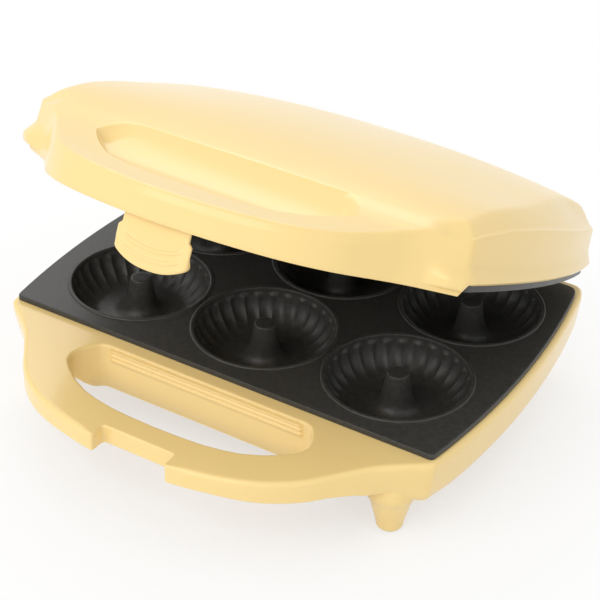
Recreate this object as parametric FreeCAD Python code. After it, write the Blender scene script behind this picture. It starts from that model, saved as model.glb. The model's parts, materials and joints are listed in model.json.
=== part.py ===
"""Donut maker: a clamshell appliance that bakes six ring cakes between two cast plates.

Frame: +X to the right, +Y to the back (hinge side), +Z up, the feet on z = 0.
Sizes are in millimetres.  The set is modelled with y = 0 midway between the two mould rows,
and each piece is moved so that the origin lies under the middle of the whole set.
The lid and its pieces are modelled closed, then turned open about the hinge pins.
"""
import FreeCAD
import Part
import math
import os

V = FreeCAD.Vector
UP = V(0, 0, 1)
ALONG_X = V(1, 0, 0)
ALONG_Y = V(0, 1, 0)

# ---------------------------------------------------------------- driving sizes
# moulds and cooking plates
MOULD_COLUMNS = 3
MOULD_ROWS = 2
MOULD_PITCH_X = 75.3
MOULD_PITCH_Y = 74.7
MOULD_MOUTH_R = 35.0
MOULD_DEPTH = 17.0
MOULD_FLOOR_R = 21.0
MOULD_BEAD_WIDTH = 2.2
MOULD_BEAD_HEIGHT = 0.8
MOULD_COLLAR = 1.1
POST_TOP_R = 5.4
POST_WAIST_R = 7.4
POST_FOOT_R = 14.5
LOWER_POST_TOP = 2.5
POST_GAP = 0.8
CAST_WALL = 2.2
PLATE_THICK = 3.0
PLATE_SIDE_MARGIN = 13.7
PLATE_FRONT_MARGIN = 10.2
PLATE_REAR_MARGIN = 9.7
PLATE_CORNER_R = 3.0
PLATE_REAR_CORNER_R = 9.0
PLATE_GAP = 1.1
UPPER_FLANGE = 3.6

# outside of the two housings
WALL = 2.5
DECK_Z = 45.0
DECK_BORDER = 2.5
REAR_WALL_SETBACK = 7.95
HOUSING_REAR_R = 14.0
FRONT_TAPER = 5.0
REAR_TAPER = 11.0
GRIP_REACH = 70.0
GRIP_SKIRT = 12.0
HOLE_HALF_WIDTH = 66.0
HOLE_REAR_SETBACK = 7.4
HOLE_REACH = 40.0
NOTCH_HALF_WIDTH = 20.0
NOTCH_DEPTH = 10.0
FINGER_RIBS = 4
FINGER_RIB_PITCH = 3.0
FINGER_RIB_PROUD = 0.9

# lid, heights above the deck when closed
LID_FRONT_RIM = 2.0
LID_SIDE_WALL_TOP = 27.0
LID_SHOULDER = 38.0
LID_SHOULDER_INSET = 20.0
LID_CROWN = 50.5
LID_FLARE = 4.0
LID_FLARE_HEIGHT = 5.0
SCOOP_HALF_WIDTH = 62.0
SCOOP_RADIUS = 38.0
SCOOP_FRONT_HEIGHT = 24.5
LID_REST_ANGLE = 25.0
LUG_SETBACK = 6.2
FRONT_LUG_INSET = 44.0
REAR_LUG_INSET = 36.0
LUG_HALF_WIDTH = 6.0
LUG_THICK = 2.6
LUG_GAP = 0.4

# hinge
HINGE_SETBACK = 8.4
HINGE_DROP = 2.0
HINGE_INSET = 62.0
HINGE_PIN_R = 2.5
HINGE_RUN_CLEARANCE = 0.06
KNUCKLE_R = 6.8
KNUCKLE_WIDTH = 16.0
EAR_WIDTH = 6.0
EAR_SIDE_GAP = 0.4

# latch
LATCH_HALF_WIDTH = 17.5
LATCH_TAB_HALF_WIDTH = 19.3
LATCH_THICK = 4.8
LATCH_BLADE = 2.2
LATCH_FRONT_GAP = 2.0
LATCH_PIN_R = 1.5
LATCH_PIVOT_RISE = 8.0
LATCH_TAB_TOP_DROP = 3.5
LATCH_CORNER_DROP = 14.5
LATCH_TIP_DROP = 20.5
LATCH_HOOK_DROP = 1.3
LATCH_SIDE_GAP = 0.4
LATCH_EAR = 4.0

# heating parts
ELEMENT_R = 3.2
ELEMENT_ABOVE_MOULD_FLOOR = 5.0
ELEMENT_CLEAR_X = 1.7
ELEMENT_CLEAR_Y = 2.65
ELEMENT_BEND_R = 25.0
ELEMENT_GAP_HALF = 12.0
TERMINAL_R = 1.4
TERMINAL_LENGTH = 6.0
CLAMP_THICK = 1.0
CLAMP_WIDTH = 10.0
BOSS_R = 4.5
BOSS_INSET = 9.5
SIDE_BOSS_INSET = 9.0
REFLECTOR_SHEET = 0.6
REFLECTOR_DROP = 1.3
REFLECTOR_LIP = 3.0
REFLECTOR_INSET_X = 6.0
REFLECTOR_INSET_Y = 2.0
REFLECTOR_ABOVE_FLOOR = 1.6
SENSOR_R = 7.5
SENSOR_HEIGHT = 5.5

# fasteners, feet and floor
SCREW_R = 1.6
SCREW_HEAD_R = 3.2
SCREW_HEAD_HEIGHT = 2.0
SCREW_BITE = 7.0
FLOOR_THICK = 2.3
FLOOR_GAP = 0.3
PILLAR_R = 6.0
FLOOR_SCREW_INSET = 6.0
FLOOR_SCREW_SIDE_INSET = 54.0
FOOT_TOP_R = 10.5
FOOT_TIP_R = 6.2
FOOT_ROUND = 3.5
FOOT_SIDE_INSET = 24.0
FOOT_FRONT_OUTSET = 1.45
FOOT_REAR_INSET = 12.05
PAD_R = 4.2
PAD_HEIGHT = 2.0
PAD_PROUD = 0.8
INLET_X = -34.0
INLET_RISE = 12.0
INLET_R = 6.0
INLET_BORE_R = 3.6
INLET_FLANGE = 1.6

# ---------------------------------------------------------------- sizes worked out from those
PLATE_TOP_Z = DECK_Z + PLATE_THICK
MOULDS_HALF_X = MOULD_PITCH_X * (MOULD_COLUMNS - 1) / 2 + MOULD_MOUTH_R
MOULDS_HALF_Y = MOULD_PITCH_Y * (MOULD_ROWS - 1) / 2 + MOULD_MOUTH_R
PLATE_HALF_X = MOULDS_HALF_X + PLATE_SIDE_MARGIN
PLATE_FRONT_Y = -(MOULDS_HALF_Y + PLATE_FRONT_MARGIN)
PLATE_REAR_Y = MOULDS_HALF_Y + PLATE_REAR_MARGIN
REAR_WALL_Y = PLATE_REAR_Y + REAR_WALL_SETBACK
CORNER_Y = PLATE_FRONT_Y - 1.5
GRIP_FRONT_Y = PLATE_FRONT_Y - GRIP_REACH
HOLE_REAR_Y = PLATE_FRONT_Y - HOLE_REAR_SETBACK
HOLE_FRONT_Y = HOLE_REAR_Y - HOLE_REACH
NOTCH_Y = GRIP_FRONT_Y + NOTCH_DEPTH
SKIRT_BOTTOM_Z = DECK_Z - GRIP_SKIRT
HINGE_Y = REAR_WALL_Y + HINGE_SETBACK
HINGE_Z = PLATE_TOP_Z - HINGE_DROP
UPPER_FACE_Z = PLATE_TOP_Z + PLATE_GAP
LID_SIDE_RIM_Z = UPPER_FACE_Z + UPPER_FLANGE
LID_FRONT_RIM_Z = DECK_Z + LID_FRONT_RIM
LID_SIDE_WALL_TOP_Z = DECK_Z + LID_SIDE_WALL_TOP
LID_SHOULDER_Z = DECK_Z + LID_SHOULDER
LID_CROWN_Z = DECK_Z + LID_CROWN
FRONT_LUG_X = PLATE_HALF_X - FRONT_LUG_INSET
REAR_LUG_X = PLATE_HALF_X - REAR_LUG_INSET
HINGE_X = PLATE_HALF_X - HINGE_INSET
ELEMENT_DEPTH = MOULD_DEPTH - ELEMENT_ABOVE_MOULD_FLOOR
ELEMENT_X = MOULDS_HALF_X + ELEMENT_CLEAR_X
ELEMENT_Y = MOULDS_HALF_Y + ELEMENT_CLEAR_Y
BOSS_X = MOULD_PITCH_X / 2
BOSS_Y = ELEMENT_Y - BOSS_INSET
SIDE_BOSS_X = ELEMENT_X - SIDE_BOSS_INSET
REFLECTOR_HALF_X = ELEMENT_X - REFLECTOR_INSET_X
REFLECTOR_HALF_Y = ELEMENT_Y - REFLECTOR_INSET_Y
STRAP_DEPTH = ELEMENT_DEPTH + ELEMENT_R
PAN_DEPTH = MOULD_DEPTH + CAST_WALL + REFLECTOR_DROP
PAN_BACK = PAN_DEPTH + REFLECTOR_SHEET
BODY_BOTTOM_Z = PLATE_TOP_Z - PAN_BACK - REFLECTOR_LIP - REFLECTOR_ABOVE_FLOOR - FLOOR_THICK
INLET_Z = BODY_BOTTOM_Z + INLET_RISE
FLOOR_SCREW_X = PLATE_HALF_X - FLOOR_SCREW_SIDE_INSET
FOOT_X = PLATE_HALF_X - FOOT_SIDE_INSET
FOOT_FRONT_Y = PLATE_FRONT_Y - FOOT_FRONT_OUTSET
FOOT_REAR_Y = PLATE_REAR_Y - FOOT_REAR_INSET
CLAMP_PLACES = [(sx * BOSS_X, sy * BOSS_Y) for sx in (-1, 1) for sy in (-1, 1)]
SIDE_CLAMP_PLACES = [(sx * SIDE_BOSS_X, 0.0) for sx in (-1, 1)]
LATCH_FRONT_Y = GRIP_FRONT_Y + WALL + LATCH_FRONT_GAP
LATCH_BACK_Y = LATCH_FRONT_Y + LATCH_THICK
LATCH_PIVOT_Y = (LATCH_FRONT_Y + LATCH_BACK_Y) / 2
LATCH_PIVOT_Z = DECK_Z + LATCH_PIVOT_RISE
LATCH_TAB_TOP_Z = DECK_Z - LATCH_TAB_TOP_DROP
LATCH_CORNER_Z = DECK_Z - LATCH_CORNER_DROP
LATCH_TIP_Z = DECK_Z - LATCH_TIP_DROP
LATCH_HOOK_Z = SKIRT_BOTTOM_Z - LATCH_HOOK_DROP
HIGH = 200.0


# ---------------------------------------------------------------- small helpers
def wire(start, *steps):
    """Closed wire in the z = 0 plane; a step is an end point, (middle, end) of an arc,
    or a list of points that a smooth curve runs through."""
    here = V(*start)
    edges = []
    for step in steps:
        if isinstance(step, list):
            curve = Part.BSplineCurve()
            curve.interpolate([here] + [V(*p) for p in step])
            edges.append(curve.toShape())
            here = V(*step[-1])
        elif isinstance(step[0], tuple):
            edges.append(Part.Arc(here, V(*step[0]), V(*step[1])).toShape())
            here = V(*step[1])
        else:
            edges.append(Part.makeLine(here, V(*step)))
            here = V(*step)
    return Part.Wire(edges)


def prism(outline, low, high):
    """Upright solid on a closed z = 0 wire, from height low to height high."""
    face = Part.Face(outline)
    face.translate(V(0, 0, low))
    return face.extrude(V(0, 0, high - low))


def box(x0, x1, y0, y1, z0, z1):
    return Part.makeBox(x1 - x0, y1 - y0, z1 - z0, V(x0, y0, z0))


def block(x, half, y0, y1, z0, z1):
    """Box centred on x."""
    return box(x - half, x + half, y0, y1, z0, z1)


def rod(radius, start, length, along=UP):
    return Part.makeCylinder(radius, length, V(*start), along)


def fuse(first, *others):
    return first.multiFuse([o for o in others]).removeSplitter()


def spin(outline):
    """Solid of revolution about Z of a closed wire drawn as (radius, 0, height)."""
    return Part.Face(outline).revolve(V(0, 0, 0), UP, 360)


def half_profile(start, *steps):
    """A wire drawn in x and y, stood up so that its y becomes z."""
    flat = wire(start, *steps)
    flat.rotate(V(0, 0, 0), ALONG_X, 90)
    return flat


def screw(place, length):
    """Pan-head screw with its head seated at place and its shank running up."""
    head = rod(SCREW_HEAD_R, (place[0], place[1], place[2] - SCREW_HEAD_HEIGHT), SCREW_HEAD_HEIGHT)
    head = head.makeFillet(SCREW_HEAD_HEIGHT * 0.45, [head.Edges[2]])
    slot = box(place[0] - SCREW_HEAD_R, place[0] + SCREW_HEAD_R, place[1] - 0.4, place[1] + 0.4,
               place[2] - SCREW_HEAD_HEIGHT - 1, place[2] - SCREW_HEAD_HEIGHT + 0.8)
    shank = rod(SCREW_R, place, length)
    return head.fuse(shank).removeSplitter().cut(slot)


# ---------------------------------------------------------------- outlines seen from above
def side_x(y, border):
    """Half width of a housing or plate at depth y: an arc through its three widths."""
    middle_y = -10.0
    front = V(PLATE_HALF_X - FRONT_TAPER, PLATE_FRONT_Y, 0)
    middle = V(PLATE_HALF_X, middle_y, 0)
    rear = V(PLATE_HALF_X - REAR_TAPER, PLATE_REAR_Y, 0)
    circle = Part.Arc(front, middle, rear).toShape().Curve
    centre = circle.Center
    radius = circle.Radius + border
    return centre.x + math.sqrt(radius ** 2 - (y - centre.y) ** 2)


def side_arc(y_from, y_to, border, sign=1):
    middle = (y_from + y_to) / 2
    return ((sign * side_x(middle, border), middle), (sign * side_x(y_to, border), y_to))


def plate_outline(grow=0.0):
    """Straight front and rear edges and bowed sides, with rounded corners."""
    front = PLATE_FRONT_Y - grow
    rear = PLATE_REAR_Y + grow
    small = PLATE_CORNER_R
    large = PLATE_REAR_CORNER_R
    x_front = side_x(front, grow)
    x_rear = side_x(rear, grow)
    bite = 0.3
    return wire((-x_front + small, front), (x_front - small, front),
                ((x_front - bite * small, front + bite * small), (side_x(front + small, grow), front + small)),
                side_arc(front + small, rear - large, grow),
                ((x_rear - bite * large, rear - bite * large), (x_rear - large, rear)),
                (-x_rear + large, rear),
                ((-x_rear + bite * large, rear - bite * large), (-side_x(rear - large, grow), rear - large)),
                side_arc(rear - large, front + small, grow, -1),
                ((-x_front + bite * small, front + bite * small), (-x_front + small, front)))


def grip_points(corner_x, thin):
    """Front edge of the grip from left to right, moved inwards by thin along its normals."""
    right = [(corner_x, CORNER_Y), (corner_x - 21, CORNER_Y - 17), (corner_x - 30, CORNER_Y - 28),
             (corner_x - 43, CORNER_Y - 44), (corner_x - 59, GRIP_FRONT_Y + 13),
             (corner_x - 87, GRIP_FRONT_Y + 3.5)]
    points = [(-x, y) for x, y in right] + [(0, GRIP_FRONT_Y)] + right[::-1]
    moved = []
    for index, (x, y) in enumerate(points[1:-1], 1):
        along = V(*points[index + 1]) - V(*points[index - 1])
        along.normalize()
        moved.append((x - along.y * thin, y + along.x * thin))
    return moved


def housing_outline(border, thin=0.0):
    """Bowed sides, a straight back with round corners, and the bow of the grip in front.
    The inside of a wall has the same outline with thin set to the wall."""
    corner_x = side_x(CORNER_Y, border - thin)
    rear = REAR_WALL_Y - thin
    large = HOUSING_REAR_R - thin
    x_rear = side_x(rear, border - thin)
    bite = 0.3
    return wire((-corner_x, CORNER_Y),
                grip_points(side_x(CORNER_Y, border), thin) + [(corner_x, CORNER_Y)],
                side_arc(CORNER_Y, rear - large, border - thin),
                ((x_rear - bite * large, rear - bite * large), (x_rear - large, rear)),
                (-x_rear + large, rear),
                ((-x_rear + bite * large, rear - bite * large),
                 (-side_x(rear - large, border - thin), rear - large)),
                side_arc(rear - large, CORNER_Y, border - thin, -1))


def crescent(half_width, rear_y, front_y, grow=0.0):
    """Straight rear edge, bowed front edge and rounded ends: the finger hole and the scoop."""
    half_width += grow
    rear_y += grow
    front_y -= grow
    x_rear = half_width - 8
    shoulder_y = rear_y - 0.4 * (rear_y - front_y)
    return wire((-x_rear, rear_y), (x_rear, rear_y),
                ((half_width - 1.4, rear_y - 6), (half_width, shoulder_y)),
                [(half_width - 15, front_y + 8), (half_width - 33, front_y + 2), (0, front_y),
                 (33 - half_width, front_y + 2), (15 - half_width, front_y + 8), (-half_width, shoulder_y)],
                ((1.4 - half_width, rear_y - 6), (-x_rear, rear_y)))


# ---------------------------------------------------------------- cooking plates
def mould_centres():
    for column in range(MOULD_COLUMNS):
        for row in range(MOULD_ROWS):
            yield ((column - (MOULD_COLUMNS - 1) / 2) * MOULD_PITCH_X,
                   (row - (MOULD_ROWS - 1) / 2) * MOULD_PITCH_Y)


def cup_body(bead):
    """Outside of one mould cup, set in its hole in the plate, with a bead round its mouth."""
    deep = MOULD_DEPTH + CAST_WALL
    seat_r = MOULD_MOUTH_R + MOULD_COLLAR
    edge = [(seat_r, 0)]
    if bead > 0:
        edge += [(MOULD_MOUTH_R + MOULD_BEAD_WIDTH, 0), (MOULD_MOUTH_R + MOULD_BEAD_WIDTH, bead)]
    return spin(half_profile((0, -deep), (MOULD_FLOOR_R, -deep),
                             ((seat_r - 4.1, -MOULD_DEPTH * 0.68), (seat_r, -PLATE_THICK)),
                             *edge, (0, bead), (0, -deep)))


def cup_hollow(post_top):
    """Ring-shaped space that the batter fills, round the centre post."""
    top = max(post_top, MOULD_BEAD_HEIGHT) + 1
    return spin(half_profile((POST_FOOT_R, -MOULD_DEPTH), (MOULD_FLOOR_R, -MOULD_DEPTH),
                             ((MOULD_MOUTH_R - 4.6, -MOULD_DEPTH * 0.66), (MOULD_MOUTH_R, 0)),
                             (MOULD_MOUTH_R, top), (0, top), (0, post_top), (POST_TOP_R - 0.8, post_top),
                             (POST_TOP_R, post_top - 0.8), (POST_WAIST_R, -MOULD_DEPTH * 0.5),
                             ((POST_WAIST_R + 2.2, -MOULD_DEPTH * 0.85), (POST_FOOT_R, -MOULD_DEPTH))))


def post_core(post_top):
    """Metal of a centre post above the bead, and the hollow under the post."""
    solid = rod(POST_TOP_R + 0.5, (0, 0, -1), post_top + 1)
    hollow = Part.makeCone(POST_WAIST_R - CAST_WALL, POST_TOP_R - CAST_WALL, MOULD_DEPTH,
                           V(0, 0, -MOULD_DEPTH - CAST_WALL))
    return solid, hollow


def mould_cups(post_top, bead):
    """The ring moulds of one half, their mouths level with z = 0."""
    core, under = post_core(post_top)
    body = cup_body(bead)
    if post_top > MOULD_BEAD_HEIGHT:
        body = fuse(body, core)
    cup = body.cut(Part.makeCompound([cup_hollow(post_top), under]))
    return [cup.translated(V(x, y, 0)) for x, y in mould_centres()]


def cooking_plate(flange_drop):
    """Plate with its face up on z = 0, a hole for each mould, and bosses for the clamps."""
    slab = prism(plate_outline(), -PLATE_THICK, 0)
    if flange_drop > PLATE_THICK:
        rim = prism(plate_outline(), -flange_drop, 0).cut(prism(plate_outline(-CAST_WALL), -flange_drop, 0))
        slab = slab.fuse(rim)
    bosses = [rod(BOSS_R, (x, y, -STRAP_DEPTH), STRAP_DEPTH - 1)
              for x, y in CLAMP_PLACES + SIDE_CLAMP_PLACES]
    plate = fuse(slab, *bosses)
    cuts = [rod(SCREW_R, (x, y, -STRAP_DEPTH - 1), SCREW_BITE + 1.5)
            for x, y in CLAMP_PLACES + SIDE_CLAMP_PLACES]
    cuts += [rod(MOULD_MOUTH_R + MOULD_COLLAR, (x, y, -PLATE_THICK - 1), PLATE_THICK + 2)
             for x, y in mould_centres()]
    return plate.cut(Part.makeCompound(cuts))


def element():
    """Tubular heater: a rounded rectangle open at the back, and its two terminal pins."""
    x, y, r, gap = ELEMENT_X, ELEMENT_Y, ELEMENT_BEND_R, ELEMENT_GAP_HALF
    k = r * (1 - math.sqrt(0.5))
    z = -ELEMENT_DEPTH
    bends = [((x - r, y), (x - k, y - k), (x, y - r)), ((x, r - y), (x - k, k - y), (x - r, -y)),
             ((r - x, -y), (k - x, k - y), (-x, r - y)), ((-x, y - r), (k - x, y - k), (r - x, y))]
    edges = []
    start = V(gap, y, z)
    here = start
    for first, middle, last in bends:
        edges.append(Part.makeLine(here, V(*first, z)))
        edges.append(Part.Arc(V(*first, z), V(*middle, z), V(*last, z)).toShape())
        here = V(*last, z)
    edges.append(Part.makeLine(here, V(-gap, y, z)))
    path = Part.Wire(edges)
    section = Part.Wire(Part.makeCircle(ELEMENT_R, start, ALONG_X))
    tube = path.makePipeShell([section], True, False)
    pins = [rod(TERMINAL_R, (gap, y, z), TERMINAL_LENGTH, V(-1, 0, 0)),
            rod(TERMINAL_R, (-gap, y, z), TERMINAL_LENGTH, ALONG_X)]
    return [tube] + pins


def element_clamps():
    """Flat straps under the heater, one on each boss."""
    straps = []
    half = CLAMP_WIDTH / 2
    for x, y in CLAMP_PLACES:
        near, far = sorted((y - math.copysign(half, y), math.copysign(ELEMENT_Y + ELEMENT_R, y)))
        straps.append(box(x - half, x + half, near, far, -STRAP_DEPTH - CLAMP_THICK, -STRAP_DEPTH))
    for x, y in SIDE_CLAMP_PLACES:
        near, far = sorted((x - math.copysign(half, x), math.copysign(ELEMENT_X + ELEMENT_R, x)))
        straps.append(box(near, far, y - half, y + half, -STRAP_DEPTH - CLAMP_THICK, -STRAP_DEPTH))
    holes = [rod(SCREW_R, (x, y, -STRAP_DEPTH - CLAMP_THICK - 1), CLAMP_THICK + 2)
             for x, y in CLAMP_PLACES + SIDE_CLAMP_PLACES]
    return [strap.cut(Part.makeCompound(holes)) for strap in straps]


def reflector():
    """Bright sheet pan behind the cups, with a dimple to each corner boss."""
    pan = box(-REFLECTOR_HALF_X, REFLECTOR_HALF_X, -REFLECTOR_HALF_Y, REFLECTOR_HALF_Y,
              -PAN_BACK, -PAN_DEPTH)
    lip = box(-REFLECTOR_HALF_X, REFLECTOR_HALF_X, -REFLECTOR_HALF_Y, REFLECTOR_HALF_Y,
              -PAN_BACK - REFLECTOR_LIP, -PAN_BACK)
    lip = lip.cut(box(-REFLECTOR_HALF_X + 1, REFLECTOR_HALF_X - 1, -REFLECTOR_HALF_Y + 1,
                      REFLECTOR_HALF_Y - 1, -PAN_BACK - REFLECTOR_LIP, -PAN_BACK))
    dimple_top = -STRAP_DEPTH - CLAMP_THICK
    dimples = [Part.makeCone(BOSS_R + 1, BOSS_R, PAN_DEPTH + dimple_top, V(x, y, -PAN_DEPTH))
               for x, y in CLAMP_PLACES]
    holes = [rod(SCREW_R, (x, y, -PAN_BACK - 1), PAN_BACK) for x, y in CLAMP_PLACES]
    side_screws = [rod(SCREW_HEAD_R + 1, (x, y, -PAN_BACK - 4), 8) for x, y in SIDE_CLAMP_PLACES]
    return fuse(pan, lip, *dimples).cut(Part.makeCompound(holes + side_screws))


def sensor(x):
    """Disc thermostat or fuse holder pressed against the plate between four cups."""
    can = rod(SENSOR_R, (x, 0, -PLATE_THICK - SENSOR_HEIGHT), SENSOR_HEIGHT)
    neck = rod(SENSOR_R * 0.7, (x, 0, -PLATE_THICK - SENSOR_HEIGHT - 3), 3)
    tags = [box(x + s * 3.2 - 0.4, x + s * 3.2 + 0.4, -2.4, 2.4, -PLATE_THICK - SENSOR_HEIGHT - 7.5,
                -PLATE_THICK - SENSOR_HEIGHT - 3) for s in (-1, 1)]
    return fuse(can, neck, *tags)


def fuse_capsule(x):
    """Thermal cut-out: a small capsule in a clip on the plate's back."""
    z = -PLATE_THICK - 2.4
    capsule = rod(2.0, (x, -6, z), 12, ALONG_Y)
    leads = rod(0.6, (x, -11, z), 22, ALONG_Y)
    clip = box(x - 2.8, x + 2.8, -3, 3, z - 2.8, -PLATE_THICK)
    return fuse(clip, capsule, leads)


def heating_set(prefix, flip):
    """All heating pieces of one half, behind its plate; flip turns them over for the lid."""
    short = CLAMP_THICK + SCREW_BITE - 1
    straps_z = -STRAP_DEPTH - CLAMP_THICK
    side_screws = [screw((x, y, straps_z), short) for x, y in SIDE_CLAMP_PLACES]
    pan_screws = []
    if flip:
        pan_screws = [screw((x, y, -PAN_BACK), PAN_BACK - STRAP_DEPTH + SCREW_BITE - 1)
                      for x, y in CLAMP_PLACES]
    pieces = {
        prefix + "heating_element": element(),
        prefix + "element_clamps": element_clamps(),
        prefix + "clamp_screws": side_screws + pan_screws,
        prefix + "reflector": [reflector()],
        prefix + "thermostat": [sensor(BOSS_X)],
        prefix + "thermal_fuse": [fuse_capsule(-BOSS_X)],
    }
    return {name: [seat(solid, flip) for solid in solids] for name, solids in pieces.items()}


def seat(solid, flip):
    """Moves a piece from its plate's frame to the closed product."""
    if flip:
        return solid.mirror(V(0, 0, 0), UP).translated(V(0, 0, UPPER_FACE_Z))
    return solid.translated(V(0, 0, PLATE_TOP_Z))


# ---------------------------------------------------------------- base
def grip_mask():
    """Side view of the base: full depth behind the finger hole, a shallow skirt at the grip."""
    x = side_x(CORNER_Y, DECK_BORDER) + 10
    profile = half_profile((-x, BODY_BOTTOM_Z), (-x + 12, BODY_BOTTOM_Z + 2), (-92, SKIRT_BOTTOM_Z - 5),
                           (-HOLE_HALF_WIDTH, SKIRT_BOTTOM_Z), (HOLE_HALF_WIDTH, SKIRT_BOTTOM_Z),
                           (92, SKIRT_BOTTOM_Z - 5), (x - 12, BODY_BOTTOM_Z + 2), (x, BODY_BOTTOM_Z),
                           (x, DECK_Z), (-x, DECK_Z), (-x, BODY_BOTTOM_Z))
    front = Part.Face(profile).extrude(V(0, HIGH, 0)).translated(V(0, HOLE_REAR_Y - HIGH, 0))
    behind = box(-x, x, HOLE_REAR_Y, REAR_WALL_Y + 1, BODY_BOTTOM_Z, DECK_Z)
    return front.fuse(behind)


def base_ears():
    """Two ears each side of both lid knuckles, on the back wall."""
    ears = []
    offset = (KNUCKLE_WIDTH + EAR_WIDTH) / 2 + EAR_SIDE_GAP
    for centre in (-HINGE_X, HINGE_X):
        for x in (centre - offset, centre + offset):
            start = x - EAR_WIDTH / 2
            barrel = rod(KNUCKLE_R, (start, HINGE_Y, HINGE_Z), EAR_WIDTH, ALONG_X)
            web = box(start, start + EAR_WIDTH, REAR_WALL_Y - 1, HINGE_Y + KNUCKLE_R,
                      BODY_BOTTOM_Z + 6, HINGE_Z - 1.2)
            slope = box(start - 1, start + EAR_WIDTH + 1, 0, 2 * HIGH, -HIGH, 0)
            slope.rotate(V(0, 0, 0), ALONG_X, 52)
            slope.translate(V(0, REAR_WALL_Y - 1, BODY_BOTTOM_Z + 6))
            ears.append(barrel.fuse(web.cut(slope)))
    return ears


def floor_screw_places():
    return [(sx * FLOOR_SCREW_X, y) for sx in (-1, 1)
            for y in (HOLE_REAR_Y + FLOOR_SCREW_INSET, REAR_WALL_Y - FLOOR_SCREW_INSET)]


def base_shell():
    """Upper half of the base: deck, skirt, grip with its finger hole and latch notch, ears."""
    outline = housing_outline(DECK_BORDER)
    inner = housing_outline(DECK_BORDER, WALL)
    mask = grip_mask()
    walls = prism(outline, BODY_BOTTOM_Z, DECK_Z).cut(prism(inner, BODY_BOTTOM_Z - 1, DECK_Z - WALL))
    inside = prism(outline, BODY_BOTTOM_Z, DECK_Z - 1)
    hole = crescent(HOLE_HALF_WIDTH, HOLE_REAR_Y, HOLE_FRONT_Y)
    around = crescent(HOLE_HALF_WIDTH, HOLE_REAR_Y, HOLE_FRONT_Y, WALL)
    hole_wall = prism(around, BODY_BOTTOM_Z, DECK_Z).common(inside)
    front_wall = box(-HIGH, HIGH, HOLE_REAR_Y, HOLE_REAR_Y + WALL, BODY_BOTTOM_Z, DECK_Z - 1).common(inside)
    notch_wall = box(-NOTCH_HALF_WIDTH - WALL, NOTCH_HALF_WIDTH + WALL, GRIP_FRONT_Y,
                     NOTCH_Y + WALL, SKIRT_BOTTOM_Z, DECK_Z - 1).common(inside)
    posts = [rod(PILLAR_R - 1, (x, y, BODY_BOTTOM_Z + FLOOR_THICK), DECK_Z - 1 - BODY_BOTTOM_Z - FLOOR_THICK)
             for x, y in floor_screw_places()]
    shell = fuse(walls, hole_wall, front_wall, notch_wall).common(mask)
    shell = fuse(shell, *posts, *base_ears())
    ribs = []
    for index in range(FINGER_RIBS):
        z = DECK_Z - 3.5 - index * FINGER_RIB_PITCH
        ribs.append(rod(FINGER_RIB_PROUD, (-HOLE_HALF_WIDTH + 12, HOLE_REAR_Y, z),
                        2 * (HOLE_HALF_WIDTH - 12), ALONG_X))
    well = prism(plate_outline(-3.5), DECK_Z - WALL - 1, DECK_Z + 1)
    notch = box(-NOTCH_HALF_WIDTH, NOTCH_HALF_WIDTH, GRIP_FRONT_Y - 1, NOTCH_Y, 0, DECK_Z + 1)
    drills = [rod(SCREW_R, (x, y, BODY_BOTTOM_Z), SCREW_BITE + FLOOR_THICK) for x, y in floor_screw_places()]
    pin_length = KNUCKLE_WIDTH + 2 * (EAR_WIDTH + EAR_SIDE_GAP)
    pin_holes = [rod(HINGE_PIN_R, (x - pin_length / 2, HINGE_Y, HINGE_Z), pin_length, ALONG_X)
                 for x in (-HINGE_X, HINGE_X)]
    inlet = rod(INLET_R, (INLET_X, REAR_WALL_Y - WALL - 1, INLET_Z), WALL + 2, ALONG_Y)
    cuts = [prism(hole, 0, DECK_Z + 1), well, notch, inlet] + drills + pin_holes
    shell = shell.cut(Part.makeCompound(cuts))
    return fuse(shell, *[rib.common(box(-HIGH, HIGH, -HIGH, HOLE_REAR_Y + 0.5, 0, DECK_Z)) for rib in ribs])


def foot(x, y):
    """Tapered foot with a rounded tip and a pocket for its pad."""
    cone = Part.makeCone(FOOT_TIP_R, FOOT_TOP_R, BODY_BOTTOM_Z - PAD_PROUD + 0.5, V(x, y, PAD_PROUD))
    tip = min(cone.Edges, key=lambda e: e.BoundBox.ZMax)
    cone = cone.makeFillet(FOOT_ROUND - 1, [tip])
    return cone.cut(rod(PAD_R, (x, y, 0), PAD_HEIGHT))


def foot_places():
    return [(sx * FOOT_X, y) for sx in (-1, 1) for y in (FOOT_FRONT_Y, FOOT_REAR_Y)]


def base_floor():
    """Bottom cover: a flat floor with four feet, pillars up to the plate and vent slots."""
    body = housing_outline(DECK_BORDER)
    inside = housing_outline(DECK_BORDER, WALL + FLOOR_GAP)
    floor = prism(inside, BODY_BOTTOM_Z, BODY_BOTTOM_Z + FLOOR_THICK)
    front = HOLE_REAR_Y + WALL + FLOOR_GAP
    floor = floor.common(box(-HIGH, HIGH, front, HIGH, 0, HIGH))
    top = PLATE_TOP_Z - PAN_BACK
    pillars = [rod(PILLAR_R, (x, y, BODY_BOTTOM_Z), top - BODY_BOTTOM_Z) for x, y in CLAMP_PLACES]
    under = prism(body, 0, BODY_BOTTOM_Z).fuse(floor)
    feet = [foot(x, y).common(under) for x, y in foot_places()]
    floor = fuse(floor, *pillars, *feet)
    cuts = []
    for x, y in CLAMP_PLACES:
        cuts.append(rod(SCREW_R, (x, y, 0), top + 1))
        cuts.append(rod(SCREW_HEAD_R + 0.3, (x, y, 0), BODY_BOTTOM_Z + SCREW_HEAD_HEIGHT))
    for x, y in floor_screw_places():
        cuts.append(rod(SCREW_R, (x, y, 0), HIGH))
    for index in range(-4, 5):
        x = index * 9.0
        cuts.append(box(x - 1.5, x + 1.5, -22, 22, 0, HIGH / 4))
    return floor.cut(Part.makeCompound(cuts))


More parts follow.
